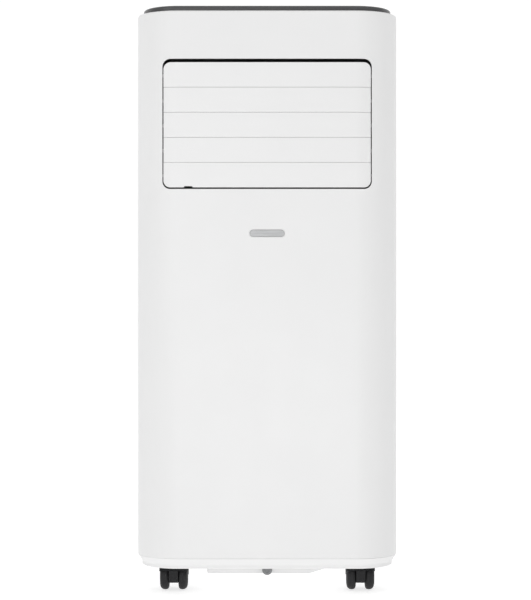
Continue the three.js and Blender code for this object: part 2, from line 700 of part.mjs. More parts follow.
function makeCoilsAndPipes() {
  place("condenser_coil", coil(102, 127, 62, 236, 4), ALUMINIUM);
  place("evaporator_coil", coil(100, 125, 394, 630, 5), ALUMINIUM);
  const { x, y, top } = COMPRESSOR;
  const discharge = [
    [x, y, top + 10.5],
    [x, y, top + 28],
    [-112, -30, top + 42],
    [-128, 40, top + 36],
    [-132, 96, top],
    [-126, 114, 224],
    [-119, 114, 218],
    [-113.6, 114, 218],
  ];
  place("discharge_pipe", pipe(discharge, 4), COPPER);
  const suction = [
    [-6, -92, 212.6],
    [-8, -96, 270],
    [-60, -108, 318],
    [-118, -92, 346],
    [-120, -88, 382],
    [-122, -70, 410],
    [-126, 40, 432],
    [-128, 96, 428],
    [-120, 112, 420],
    [-113.6, 112, 420],
  ];
  place("suction_pipe", pipe(suction, 5, 30), COPPER);
}

// A fan housing: half round below, straight above, with a rear inlet.
function scrollSolid(y0, y1, centreZ, r, top, inlet) {
  const outline = (inset) => {
    const shape = new THREE.Shape();
    shape.absarc(0, centreZ, r - inset, Math.PI, Math.PI * 2);
    shape.lineTo(r - inset, top - inset);
    shape.lineTo(-r + inset, top - inset);
    return shape;
  };
  return cut(
    slabXZ(outline(0), y0, y1, 6),
    slabXZ(outline(2.5), y0 + 2.5, y1 - 2.5, 6),
    rodY(inlet, y1 - 3, y1 + 1, 0, centreZ, 20),
    rodY(6, y0 - 1, y0 + 3, 0, centreZ, 12),
  );
}

const UPPER_FAN = { y0: -59.5, y1: 62, z: 487, r: 95, top: 616 };
const LOWER_FAN = { y0: 10, y1: 92, z: 164, r: 95, top: 376 };

function makeScrolls() {
  let upper = scrollSolid(UPPER_FAN.y0, UPPER_FAN.y1, UPPER_FAN.z, UPPER_FAN.r, UPPER_FAN.top, 62);
  const neckFront = DUCT.back + GAP;
  upper = join(upper, box([-82, neckFront, 570], [82, UPPER_FAN.y0 + 1, 614]));
  upper = cut(upper, box([-79.5, neckFront - 1, 572.5], [79.5, UPPER_FAN.y0 + 4, 611.5]));
  place("upper_fan_scroll", upper, FOAM_WHITE);
  let lower = scrollSolid(LOWER_FAN.y0, LOWER_FAN.y1, LOWER_FAN.z, LOWER_FAN.r, LOWER_FAN.top, 62);
  lower = join(lower, rodY(63, LOWER_FAN.y1 - 1, 136.5, 0, EXHAUST_Z, 24));
  lower = cut(lower, rodY(60.5, LOWER_FAN.y1 - 4, 137, 0, EXHAUST_Z, 24));
  place("lower_fan_scroll", lower, FOAM_WHITE);
}

// A squirrel-cage wheel on the motor's shaft: front disc, rear ring, and blades between.
function blowerSolid(y0, y1, z) {
  const outer = 72;
  const ring = cut(rodY(outer, y1 - 4, y1, 0, z, 20), rodY(outer - 14, y1 - 5, y1 + 1, 0, z, 20));
  let wheel = join(rodY(outer, y0, y0 + 2.5, 0, z, 20), ring, rodY(10, y0, y0 + 22, 0, z, 12));
  const blades = 10;
  for (let k = 0; k < blades; k += 1) {
    const turn = (k / blades) * Math.PI * 2;
    const geometry = new THREE.BoxGeometry(11, y1 - y0 - 2, 1.6);
    geometry.rotateY(0.5);
    geometry.translate(outer - 7.5, (y0 + y1) / 2, 0);
    geometry.rotateY(turn);
    geometry.translate(0, 0, z);
    wheel = join(wheel, solid(geometry));
  }
  return cut(wheel, rodY(4.5, y0 - 1, y0 + 20, 0, z, 10));
}

function motorSolid(y0, y1, z, shaftEnd, r) {
  return join(
    rodY(r, y0, y1 - 4, 0, z, 18),
    rodY(r + 8, y1 - 6, y1, 0, z, 18),
    rodY(4, y1 - 1, shaftEnd, 0, z, 12),
  );
}

function makeFans() {
  place("upper_blower", blowerSolid(-40, 52, UPPER_FAN.z), FOAM_WHITE);
  place("upper_motor", motorSolid(-87, UPPER_FAN.y0 - GAP, UPPER_FAN.z, -22, 36), STEEL);
  place("lower_blower", blowerSolid(22, 84, LOWER_FAN.z), FOAM_WHITE);
  place("lower_motor", motorSolid(-20, LOWER_FAN.y0 - GAP, LOWER_FAN.z, 40, 30), STEEL);
}

function makeDeckAndBox() {
  const deck = join(
    planPrism(WALL + 0.5, DECK_Z, DECK_Z + 3),
    planRing(WALL + 0.5, WALL + 3, DECK_Z + 2, DECK_Z + 9),
  );
  place("middle_deck", cut(deck, rodZ(11, DECK_Z - 1, DECK_Z + 4, -120, -88, 16)), FOAM_WHITE);
  const outer = box([45, -138, 215], [130, -72, 366]);
  const room = box([47, -136, 217], [128, -71, 364]);
  place("control_box", cut(outer, room), STEEL);
}

makeBaseTray();
const wall = cabinetWall();
makeFrontShell(wall);
makeRearShell(wall);
makeNameplate();
makeHandles();
makeTopPanel();
makeControls();
makeOutletDuct();
makeSlats();
makeVanes();
makeFilter();
makeLowerGrille();
makeExhaustCollar();
makeDrainsAndGland();
makeCastors();
makeCompressor();
makeCoilsAndPipes();
makeScrolls();
makeFans();
makeDeckAndBox();

export default unit;
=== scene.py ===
import math

import bmesh
import bpy
from mathutils import Matrix, Vector


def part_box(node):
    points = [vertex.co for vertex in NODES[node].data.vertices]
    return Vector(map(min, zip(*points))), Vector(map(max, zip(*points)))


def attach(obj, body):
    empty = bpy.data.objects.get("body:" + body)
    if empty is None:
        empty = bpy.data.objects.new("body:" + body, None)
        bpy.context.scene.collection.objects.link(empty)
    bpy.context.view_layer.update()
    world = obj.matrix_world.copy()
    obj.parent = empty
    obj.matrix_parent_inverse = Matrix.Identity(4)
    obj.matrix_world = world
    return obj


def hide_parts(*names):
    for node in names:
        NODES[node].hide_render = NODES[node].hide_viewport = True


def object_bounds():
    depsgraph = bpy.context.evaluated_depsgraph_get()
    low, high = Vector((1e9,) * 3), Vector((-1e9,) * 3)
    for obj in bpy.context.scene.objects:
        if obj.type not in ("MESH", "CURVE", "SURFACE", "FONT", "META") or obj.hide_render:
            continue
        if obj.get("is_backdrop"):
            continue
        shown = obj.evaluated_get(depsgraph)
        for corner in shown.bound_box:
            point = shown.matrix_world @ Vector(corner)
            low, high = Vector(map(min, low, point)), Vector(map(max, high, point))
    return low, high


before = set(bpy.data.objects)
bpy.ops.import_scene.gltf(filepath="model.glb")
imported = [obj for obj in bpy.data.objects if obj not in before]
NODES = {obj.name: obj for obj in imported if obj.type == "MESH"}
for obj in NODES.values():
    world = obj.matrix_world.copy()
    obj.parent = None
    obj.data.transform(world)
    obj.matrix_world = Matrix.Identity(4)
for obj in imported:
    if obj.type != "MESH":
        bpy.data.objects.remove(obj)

cad_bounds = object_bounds()
MM = 0.001
SCENE = bpy.context.scene

# ---- sizes from the frame ----
FRONT_LO, FRONT_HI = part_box("front_shell")
REAR_LO, REAR_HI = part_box("rear_shell")
TOP_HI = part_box("top_panel")[1]
HALF = FRONT_HI.x
FRONT = FRONT_LO.y
REAR = REAR_HI.y
SHELL_Z0 = FRONT_LO.z
SHELL_Z1 = FRONT_HI.z
CORNER_FRONT = 50 * MM
CORNER_REAR = 32 * MM
WALL = 3 * MM
CORNER_STEPS = 24
SLAT_COUNT = 5
CASTORS = ("front_left", "front_right", "rear_left", "rear_right")
SHARP = math.radians(38)  # edges that turn more than this are bevelled and stay sharp
STRAIGHT = math.radians(179)
WELD = 1e-6  # points of a turned mesh that are closer than this become one
HAIR = 1e-5  # how far a cutter stands off a face that it would otherwise share


# ---- mesh helpers ----
def new_object(name, mesh, material=None):
    obj = bpy.data.objects.new(name, mesh)
    SCENE.collection.objects.link(obj)
    if material is not None:
        mesh.materials.append(material)
    return obj


def mesh_from(name, verts, faces):
    mesh = bpy.data.meshes.new(name)
    mesh.from_pydata([tuple(v) for v in verts], [], faces)
    work = bmesh.new()
    work.from_mesh(mesh)
    bmesh.ops.recalc_face_normals(work, faces=work.faces)
    work.to_mesh(mesh)
    work.free()
    return mesh


def arc(cx, cy, r, start, end, steps):
    """Points of an arc between two angles in degrees."""
    turns = [math.radians(start + (end - start) * i / steps) for i in range(steps + 1)]
    return [(cx + r * math.cos(t), cy + r * math.sin(t)) for t in turns]


def round_corners(points, radii, steps=4):
    """A closed outline whose corners are replaced by arcs of the given radii; 0 leaves a corner."""
    out = []
    count = len(points)
    for i, point in enumerate(points):
        radius = radii[i] if isinstance(radii, (list, tuple)) else radii
        here = Vector(point)
        to_prev = (Vector(points[i - 1]) - here).normalized()
        to_next = (Vector(points[(i + 1) % count]) - here).normalized()
        angle = to_prev.angle(to_next)
        if radius <= 0 or angle > STRAIGHT:
            out.append(tuple(here))
            continue
        reach = radius / math.tan(angle / 2)
        centre = here + (to_prev + to_next).normalized() * (radius / math.sin(angle / 2))
        a = here + to_prev * reach - centre
        b = here + to_next * reach - centre
        turn = a.angle_signed(b)
        for k in range(steps + 1):
            spin = Matrix.Rotation(-turn * k / steps, 2)
            out.append(tuple(centre + spin @ a))
    return out


def circle(cx, cy, r, steps):
    return arc(cx, cy, r, 0, 360, steps)[:-1]


def rounded_rect(x0, x1, y0, y1, r, steps):
    return round_corners([(x0, y0), (x1, y0), (x1, y1), (x0, y1)], r, steps)


def in_mm(points):
    return [(u * MM, v * MM) for u, v in points]


def to_axes(axis, u, v, w):
    """A point given along an axis w, with u and v across it, as X, Y, Z."""
    return {"X": (w, u, v), "Y": (u, w, v), "Z": (u, v, w)}[axis]


def prism(name, outline, axis, low, high, material=None):
    """A closed outline extruded along an axis."""
    count = len(outline)
    verts = [to_axes(axis, u, v, w) for w in (low, high) for u, v in outline]
    faces = [tuple(range(count)), tuple(range(count, 2 * count))]
    faces += [(i, (i + 1) % count, count + (i + 1) % count, count + i) for i in range(count)]
    return new_object(name, mesh_from(name, verts, faces), material)


def lathe(name, profile, axis, centre, steps, material=None, closed=False):
    """A profile of (radius, distance along the axis) turned about the axis through centre."""
    verts = []
    for k in range(steps):
        turn = 2 * math.pi * k / steps
        for radius, along in profile:
            u, v = radius * math.cos(turn), radius * math.sin(turn)
            verts.append(Vector(centre) + Vector(to_axes(axis, u, v, along)))
    count = len(profile)
    faces = []
    for k in range(steps):
        other = (k + 1) % steps
        for i in range(count if closed else count - 1):
            j = (i + 1) % count
            faces.append((k * count + i, k * count + j, other * count + j, other * count + i))
    mesh = mesh_from(name, verts, faces)
    work = bmesh.new()
    work.from_mesh(mesh)
    bmesh.ops.remove_doubles(work, verts=work.verts, dist=WELD)
    bmesh.ops.dissolve_degenerate(work, edges=work.edges, dist=WELD / 10)
    bmesh.ops.recalc_face_normals(work, faces=work.faces)
    work.to_mesh(mesh)
    work.free()
    return new_object(name, mesh, material)


def boxes(name, spans, material=None):
    """Several plain blocks, each given by its low and high corner, as one mesh."""
    verts, faces = [], []
    quads = ((0, 1, 3, 2), (4, 6, 7, 5), (0, 4, 5, 1), (2, 3, 7, 6), (0, 2, 6, 4), (1, 5, 7, 3))
    for low, high in spans:
        base = len(verts)
        verts += [
            ((low, high)[i][0], (low, high)[j][1], (low, high)[k][2])
            for i in (0, 1) for j in (0, 1) for k in (0, 1)
        ]
        faces += [tuple(base + q for q in quad) for quad in quads]
    return new_object(name, mesh_from(name, verts, faces), material)


def front_path(inset, seam):
    """The cabinet's plan from the left seam round the front to the right seam."""
    half, front, r = HALF - inset, FRONT + inset, CORNER_FRONT - inset
    left = arc(-half + r, front + r, r, 180, 270, CORNER_STEPS)
    right = arc(half - r, front + r, r, 270, 360, CORNER_STEPS)
    return [(-half, seam)] + left + right + [(half, seam)]


def rear_path(inset, seam):
    """The cabinet's plan from the right seam round the rear to the left seam."""
    half, rear, r = HALF - inset, REAR - inset, CORNER_REAR - inset
    right = arc(half - r, rear - r, r, 0, 90, CORNER_STEPS)
    left = arc(-half + r, rear - r, r, 90, 180, CORNER_STEPS)
    return [(half, seam)] + right + left + [(-half, seam)]


def closed_path(inset):
    """The whole plan, without the seams."""
    return front_path(inset, 0.0)[1:-1] + rear_path(inset, 0.0)[1:-1]


def loft(name, section, material):
    """Rings of (inset, z) round the whole plan, with the first and the last filled in."""
    rings = [[(x, y, z) for x, y in closed_path(inset)] for inset, z in section]
    count, length = len(rings), len(rings[0])
    verts = [v for ring in rings for v in ring]
    faces = [tuple(range(length)), tuple(range((count - 1) * length, count * length))]
    for i in range(count - 1):
        for k in range(length):
            m = (k + 1) % length
            low, high = i * length, (i + 1) * length
            faces.append((low + k, low + m, high + m, high + k))
    return new_object(name, mesh_from(name, verts, faces), material)


def sweep(name, section, path, material):
    """A closed section of (inset, z) points carried along an open path, with end caps."""
    rings = [[(x, y, z) for x, y in path(inset)] for inset, z in section]
    count, length = len(rings), len(rings[0])
    verts = [v for ring in rings for v in ring]
    faces = []
    for i in range(count):
        j = (i + 1) % count
        for k in range(length - 1):
            faces.append((i * length + k, i * length + k + 1, j * length + k + 1, j * length + k))
    faces.append(tuple(i * length for i in range(count)))
    faces.append(tuple(i * length + length - 1 for i in range(count)))
    return new_object(name, mesh_from(name, verts, faces), material)


def join(name, objects, material=None):
    """Several objects as one mesh, in place."""
    work = bmesh.new()
    for obj in objects:
        work.from_mesh(obj.data)
    mesh = bpy.data.meshes.new(name)
    work.to_mesh(mesh)
    work.free()
    for obj in objects:
        bpy.data.objects.remove(obj)
    return new_object(name, mesh, material)


def smooth(obj, angle=SHARP):
    for face in obj.data.polygons:
        face.use_smooth = True
    obj.data.set_sharp_from_angle(angle=angle)
    return obj


def shape(obj, cut=(), add=(), keep=(), bevel=0.0, steps=3):
    """Joins, cuts and bevels an object, then keeps the result as its mesh."""
    tools = [(t, "UNION") for t in add] + [(t, "DIFFERENCE") for t in cut] + [(t, "INTERSECT") for t in keep]
    for tool, how in tools:
        step = obj.modifiers.new("boolean", "BOOLEAN")
        step.operation, step.solver, step.object = how, "EXACT", tool
    if bevel:
        step = obj.modifiers.new("edges", "BEVEL")
        step.width, step.segments = bevel, steps
        step.limit_method, step.angle_limit = "ANGLE", SHARP
        step.use_clamp_overlap = True
    material = obj.data.materials[0] if obj.data.materials else None
    depsgraph = bpy.context.evaluated_depsgraph_get()
    mesh = bpy.data.meshes.new_from_object(obj.evaluated_get(depsgraph))
    obj.modifiers.clear()
    mesh.materials.clear()
    if material is not None:
        mesh.materials.append(material)
    obj.data = mesh
    for tool, how in tools:
        bpy.data.objects.remove(tool)
    smooth(obj)
    step = obj.modifiers.new("normals", "WEIGHTED_NORMAL")
    step.keep_sharp = True
    return obj


def settle(obj, body, slot, *nodes):
    """The piece rides on a body and may stand for CAD nodes; the slot is not used."""
    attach(obj, body)
    if nodes:
        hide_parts(*nodes)
    return obj


# ---- materials ----
NOISE_SPAN = (0.3, 0.7)  # most values of a noise lie between these


class Nodes:
    """A Principled material with a few short ways to add procedural detail."""

    def __init__(self, name, color, roughness, metallic=0.0, **sockets):
        self.material = bpy.data.materials.new(name)
        self.material.use_nodes = True
        self.tree = self.material.node_tree
        self.shader = self.tree.nodes["Principled BSDF"]
        self.color = color
        self.roughness = roughness
        self.shader.inputs["Base Color"].default_value = (*color, 1)
        self.shader.inputs["Roughness"].default_value = roughness
        self.shader.inputs["Metallic"].default_value = metallic
        for key, value in sockets.items():
            self.shader.inputs[key.replace("_", " ")].default_value = value
        self.height = None

    def add(self, kind, **values):
        node = self.tree.nodes.new(kind)
        for key, value in values.items():
            if hasattr(node, key):
                setattr(node, key, value)
            else:
                node.inputs[key.replace("_", " ")].default_value = value
        return node

    def link(self, a, b):
        self.tree.links.new(a, b)

    def coords(self, stretch=(1, 1, 1)):
        place = self.add("ShaderNodeTexCoord")
        mapping = self.add("ShaderNodeMapping")
        mapping.inputs["Scale"].default_value = stretch
        self.link(place.outputs["Object"], mapping.inputs["Vector"])
        return mapping.outputs["Vector"]

    def noise(self, scale, detail, stretch=(1, 1, 1)):
        node = self.add("ShaderNodeTexNoise", Scale=scale, Detail=detail)
        self.link(self.coords(stretch), node.inputs["Vector"])
        return node.outputs["Fac"]

    def cells(self, scale, feature="F1", output="Distance"):
        node = self.add("ShaderNodeTexVoronoi", feature=feature, Scale=scale)
        self.link(self.coords(), node.inputs["Vector"])
        return node.outputs[output]

    def vary_roughness(self, value, spread):
        """Roughness that goes the spread to either side with a noise."""
        node = self.add("ShaderNodeMapRange")
        node.inputs["From Min"].default_value = NOISE_SPAN[0]
        node.inputs["From Max"].default_value = NOISE_SPAN[1]
        node.inputs["To Min"].default_value = self.roughness - spread
        node.inputs["To Max"].default_value = self.roughness + spread
        self.link(value, node.inputs["Value"])
        self.link(node.outputs["Result"], self.shader.inputs["Roughness"])

    def vary_color(self, value, other, source=NOISE_SPAN):
        """A blend from the own colour to another over a span of the value."""
        ramp = self.add("ShaderNodeValToRGB")
        ramp.color_ramp.elements[0].position = source[0]
        ramp.color_ramp.elements[1].position = source[1]
        ramp.color_ramp.elements[0].color = (*self.color, 1)
        ramp.color_ramp.elements[1].color = (*other, 1)
        self.link(value, ramp.inputs["Fac"])
        self.link(ramp.outputs["Color"], self.shader.inputs["Base Color"])

    def bump(self, value, strength, distance):
        """Relief on top of what there is already."""
        node = self.add("ShaderNodeBump", Strength=strength, Distance=distance)
        self.link(value, node.inputs["Height"])
        if self.height is not None:
            self.link(self.height, node.inputs["Normal"])
        self.height = node.outputs["Normal"]
        self.link(self.height, self.shader.inputs["Normal"])


def tinted(color, factor):
    return tuple(min(1.0, c * factor) for c in color)


def moulded(name, color, roughness, grain=2600, depth=0.25, shine=0.5):
    """Moulded plastic: fine spark-eroded grain, slow waviness, uneven sheen."""
    made = Nodes(name, color, roughness, Specular_IOR_Level=shine)
    made.vary_color(made.noise(9, 2), tinted(color, 0.985))
    made.vary_roughness(made.noise(40, 4), 0.05)
    made.bump(made.noise(18, 1), 0.06, 0.6 * MM)
    made.bump(made.noise(grain, 2), depth, 0.04 * MM)
    return made.material


def gloss_black(name, color, roughness, shine=0.25):
    """Polished black plastic with faint hairline wipe marks and dust."""
    made = Nodes(name, color, roughness, Specular_IOR_Level=shine)
    made.vary_roughness(made.noise(260, 5, (1, 9, 1)), 0.03)
    made.vary_color(made.noise(1500, 2), tinted(color, 1.6), (0.55, 0.8))
    made.bump(made.noise(14, 1), 0.05, 0.4 * MM)
    return made.material


def rubber(name, color):
    made = Nodes(name, color, 0.72)
    made.vary_color(made.noise(300, 5), tinted(color, 0.85))
    made.bump(made.noise(2200, 4), 0.4, 0.08 * MM)
    return made.material


def sheet_metal(name, color, roughness):
    """Zinc plated steel: spangle patches and rolling marks."""
    made = Nodes(name, color, roughness, metallic=1.0)
    made.vary_color(made.cells(160, "F1", "Color"), tinted(color, 0.86), (0.2, 0.9))
    made.vary_roughness(made.noise(90, 5, (1, 1, 12)), 0.08)
    return made.material


def bead_foam(name, color):
    """Expanded foam: pressed beads a few millimetres across."""
    made = Nodes(name, color, 0.85)
    made.vary_color(made.cells(320, "DISTANCE_TO_EDGE"), tinted(color, 1.06), (0.0, 0.2))
    made.bump(made.cells(320, "SMOOTH_F1"), 0.5, 0.6 * MM)
    return made.material


def metal(name, color, roughness, streak):
    made = Nodes(name, color, roughness, metallic=1.0)
    made.vary_roughness(made.noise(220, 4, streak), 0.1)
    made.vary_color(made.noise(60, 4, streak), tinted(color, 0.82))
    made.bump(made.noise(600, 3, streak), 0.12, 0.1 * MM)
    return made.material


def circuit(name, color):
    made = Nodes(name, color, 0.4)
    brick = made.add("ShaderNodeTexBrick", Scale=180.0)
    brick.inputs["Color1"].default_value = (*color, 1)
    brick.inputs["Color2"].default_value = (*tinted(color, 1.3), 1)
    brick.inputs["Mortar"].default_value = (*tinted(color, 1.9), 1)
    made.link(made.coords(), brick.inputs["Vector"])
    made.link(brick.outputs["Color"], made.shader.inputs["Base Color"])
    return made.material


WHITE = moulded("white_plastic", (0.82, 0.82, 0.82), 0.40)
SLAT_WHITE = moulded("slat_plastic", (0.825, 0.825, 0.825), 0.36, grain=3400, depth=0.15)
NAMEPLATE = metal("nameplate_silver", (0.44, 0.445, 0.45), 0.42, (1, 1, 20))
PANEL_BLACK = gloss_black("panel_black", (0.080, 0.080, 0.082), 0.17, 0.38)
WINDOW = gloss_black("display_smoke", (0.006, 0.007, 0.010), 0.08, 0.4)
BUTTON = moulded("button_plastic", (0.035, 0.036, 0.040), 0.34, grain=4200, depth=0.2)
ICON = moulded("icon_print", (0.72, 0.73, 0.74), 0.5)
LAMP = moulded("status_lamp", (0.30, 0.42, 0.45), 0.25)
DUCT = moulded("duct_plastic", (0.19, 0.192, 0.195), 0.55, grain=1800, depth=0.4)
# black nylon for the castor hoods and the cord bushing, darker than the wheels' nylon: painted shade where
# the skirt shadows the hood
SHADE_DARKENED_NYLON = moulded("shade_darkened_nylon", (0.008, 0.008, 0.009), 0.50, grain=1500, depth=0.45, shine=0.3)
WHEEL = moulded("wheel_nylon", (0.013, 0.013, 0.014), 0.58, grain=1300, depth=0.5, shine=0.3)
RUBBER = rubber("grey_rubber", (0.26, 0.265, 0.27))
NET = moulded("filter_net", (0.05, 0.052, 0.056), 0.6)
FILTER_FRAME = moulded("filter_frame", (0.16, 0.165, 0.17), 0.5)
STEEL = sheet_metal("zinc_steel", (0.56, 0.57, 0.58), 0.38)
SCREW = metal("screw_steel", (0.50, 0.50, 0.51), 0.3, (1, 1, 1))
FINS = metal("coil_fins", (0.86, 0.87, 0.88), 0.5, (1, 8, 1))
COPPER = metal("copper_tube", (0.70, 0.36, 0.20), 0.3, (1, 1, 6))
PAINT = gloss_black("compressor_paint", (0.02, 0.02, 0.022), 0.32)
FOAM = bead_foam("bead_foam", (0.74, 0.745, 0.75))
BOARD = circuit("solder_mask", (0.02, 0.13, 0.06))


# ---- cabinet ----
LOUVRE_HALF = 121 * MM
LOUVRE_Z0 = 470.2 * MM
LOUVRE_Z1 = 620.6 * MM
LOUVRE_CORNER = 9 * MM
LEDGE = 12 * MM  # width of the shells' upper rim, on which the top sits
DEEP = 30 * MM  # how far a cutter reaches past a wall
FIT = 0.25 * MM  # gap round a part let into a panel
SHELL_BEVEL = 0.5 * MM
PLATE_SEAT = 1.0 * MM
REAR_OPENING_HALF = 112.3 * MM
COLLAR_HOLE_R = 66.4 * MM
CAP_HOLE_R = 6.3 * MM
GLAND_HOLE_R = 6.8 * MM
SCREW_SPOTS = ((105, 243), (105, 380), (88, 657), (88, 51))
SCREW_RECESS = 1.2 * MM
SCREW_RECESS_R = 4.2 * MM


def shell_section():
    """The wall's section as (inset, z): a plain wall with a rim turned in at the top."""
    z0, z1 = SHELL_Z0, SHELL_Z1
    corners = [(0, z0), (0, z1), (LEDGE, z1), (LEDGE, z1 - WALL), (WALL, z1 - WALL), (WALL, z0)]
    radii = [0.35 * MM, 1.6 * MM, 0.8 * MM, 0.4 * MM, 1.0 * MM, 0.4 * MM]
    return round_corners(corners, radii)


def make_front_shell():
    seam = FRONT_HI.y
    shell = sweep("front_cover", shell_section(), lambda inset: front_path(inset, seam), WHITE)
    opening = rounded_rect(-LOUVRE_HALF, LOUVRE_HALF, LOUVRE_Z0, LOUVRE_Z1, LOUVRE_CORNER, 10)
    cutter = prism("cutter", opening, "Y", FRONT - DEEP, FRONT + DEEP)
    low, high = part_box("nameplate")
    seat = rounded_rect(low.x - FIT, high.x + FIT, low.z - FIT, high.z + FIT, (high.z - low.z) / 2, 10)
    pocket = prism("cutter", seat, "Y", FRONT - WALL, FRONT + PLATE_SEAT)
    shape(shell, cut=[cutter, pocket], bevel=SHELL_BEVEL)
    settle(shell, "cabinet", "white_shell", "front_shell")


def make_nameplate():
    low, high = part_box("nameplate")
    corner = (high.z - low.z) / 2 - 0.05 * MM
    outline = rounded_rect(low.x, high.x, low.z, high.z, corner, 12)
    plate = prism("blank_nameplate", outline, "Y", low.y, high.y, NAMEPLATE)
    shape(plate, bevel=0.25 * MM)
    settle(plate, "cabinet", "badge_grey", "nameplate")


def make_rear_shell():
    seam = REAR_LO.y
    shell = sweep("rear_cover", shell_section(), lambda inset: rear_path(inset, seam), WHITE)
    y0, y1 = REAR - DEEP / 3, REAR + DEEP
    door_gap, door_corner = 0.35 * MM, 1.5 * MM
    cutters = []
    for node in ("filter_door", "lower_grille"):
        low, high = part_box(node)
        outline = rounded_rect(-REAR_OPENING_HALF, REAR_OPENING_HALF, low.z - door_gap, high.z + door_gap,
                               door_corner, 4)
        cutters.append(prism("cutter", outline, "Y", y0, y1))
    rounds = (
        ("exhaust_collar", COLLAR_HOLE_R, 72),
        ("rear_drain_cap", CAP_HOLE_R, 24),
        ("cord_gland", GLAND_HOLE_R, 24),
    )
    for node, radius, steps in rounds:
        low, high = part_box(node)
        outline = circle((low.x + high.x) / 2, (low.z + high.z) / 2, radius, steps)
        cutters.append(prism("cutter", outline, "Y", y0, y1))
    grip_gap, grip_corner = 0.3 * MM, 6 * MM
    for node in ("handle_left", "handle_right"):
        low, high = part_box(node)
        outline = rounded_rect(low.y - grip_gap, high.y + grip_gap, low.z - grip_gap, high.z + grip_gap,
                               grip_corner, 8)
        side = math.copysign(1, low.x)
        ends = sorted((side * (HALF - DEEP / 3), side * (HALF + DEEP)))
        cutters.append(prism("cutter", outline, "X", *ends))
    for x, z in screw_places():
        recess = circle(x, z, SCREW_RECESS_R, 24)
        cutters.append(prism("cutter", recess, "Y", REAR - SCREW_RECESS, REAR + DEEP))
    shape(shell, cut=cutters, bevel=SHELL_BEVEL)
    settle(shell, "cabinet", "white_shell", "rear_shell")


def screw_places():
    return [(side * x, z) for side in (-1, 1) for x, z in in_mm(SCREW_SPOTS)]


def make_screws():
    """Domed heads with a cross recess, sunk in the rear shell."""
    y = REAR - SCREW_RECESS
    dome = in_mm([(0, 1.5), (1.4, 1.4), (2.6, 1.0), (3.3, 0.35), (3.5, 0), (0, 0)])
    arm, width = 1.9 * MM, 0.35 * MM
    y0, y1 = y + 0.7 * MM, y + 3 * MM
    for i, (x, z) in enumerate(screw_places()):
        head = lathe(f"rear_screw_{i + 1}", dome, "Y", (x, y, z), 28, SCREW)
        cross = [
            boxes("cutter", [((x - arm, y0, z - width), (x + arm, y1, z + width))]),
            boxes("cutter", [((x - width, y0, z - arm), (x + width, y1, z + arm))]),
        ]
        shape(head, cut=cross)
        settle(head, "cabinet", "steel")


def make_handles():
    """Recessed hand grips: cups open to the outside."""
    wall, corner, room_corner = 2 * MM, 5.7 * MM, 4 * MM
    for side, node in ((-1, "handle_left"), (1, "handle_right")):
        low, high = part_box(node)
        face = high.x if side > 0 else low.x
        back = low.x if side > 0 else high.x
        outline = rounded_rect(low.y, high.y, low.z, high.z, corner, 8)
        cup = prism(f"{node}_cup", outline, "X", low.x, high.x, WHITE)
        outline = rounded_rect(low.y + wall, high.y - wall, low.z + wall, high.z - wall, room_corner, 8)
        room = prism("cutter", outline, "X", *sorted((back + side * wall, face + side * DEEP)))
        shape(cup, cut=[room], bevel=0.6 * MM)
        settle(cup, "cabinet", "white_shell", node)


BASE_BOTTOM = 31 * MM
BASE_FLOOR = 40 * MM
SEAM = 0.12 * MM
SUMP_LEFT = -70.6 * MM
SUMP_SLOPE = 50 * MM
SUMP_RIGHT = 78 * MM
SUMP_BOTTOM = 20 * MM
SUMP_SHALLOW = 28.6 * MM
SUMP_FRONT = -112 * MM
SUMP_REAR = 60 * MM
DRAIN_DEPTH = 3.5 * MM
DRAIN_R = 3.8 * MM
STEM_HOLE_R = 5.4 * MM


def make_base():
    """A tray with a skirt, and a sump below it that is shallow towards its right end."""
    top = SHELL_Z0 - SEAM
    inset, wall, flare = 5 * MM, 3 * MM, 8 * MM
    inner = inset + wall
    corners = [(inner + 2 * MM, BASE_FLOOR), (inner, BASE_FLOOR), (inner, BASE_BOTTOM), (inset, BASE_BOTTOM),
               (inset, top - flare), (0.1 * MM, top), (4 * MM, top)]
    radii = [0, 1.5 * MM, 0.8 * MM, 1.2 * MM, 5 * MM, 0.3 * MM, 0]
    tray = loft("base", round_corners(corners, radii, 5), WHITE)
    deep = top - 2 * MM
    corners = [(SUMP_LEFT, deep), (SUMP_LEFT, SUMP_BOTTOM), (SUMP_SLOPE, SUMP_BOTTOM),
               (SUMP_RIGHT, SUMP_SHALLOW), (SUMP_RIGHT, deep)]
    radii = [0, 1.6 * MM, 14 * MM, 1.6 * MM, 0]
    sump = prism("sump", round_corners(corners, radii, 6), "Y", SUMP_FRONT, SUMP_REAR)
    cutters = []
    for name in CASTORS:
        low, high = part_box(f"castor_hood_{name}")
        hole = circle((low.x + high.x) / 2, stem_y(name), STEM_HOLE_R, 32)
        cutters.append(prism("cutter", hole, "Z", BASE_FLOOR - 5 * MM, BASE_FLOOR + 20 * MM))
    low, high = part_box("drain_plug")
    drain = circle(0, (low.z + high.z) / 2, DRAIN_R, 24)
    cutters.append(prism("cutter", drain, "Y", SUMP_FRONT - 3 * MM, SUMP_FRONT + DRAIN_DEPTH))
    shape(tray, add=[sump], cut=cutters, bevel=0.9 * MM)
    settle(tray, "cabinet", "white_shell", "base_tray")


# ---- top panel, display and buttons ----
PANEL_INSET = 6.7 * MM
PANEL_UNDER = 680 * MM
SKIRT_BOTTOM = 660 * MM
SKIRT_WALL = 2.4 * MM
BUTTON_R = 7 * MM
BUTTON_GAP = 0.3 * MM
BUTTON_SPOTS = ((-75, -118), (-50, -118), (0, -90), (50, -118), (75, -118))
PRINT = 0.06 * MM  # how far the status dots stand out


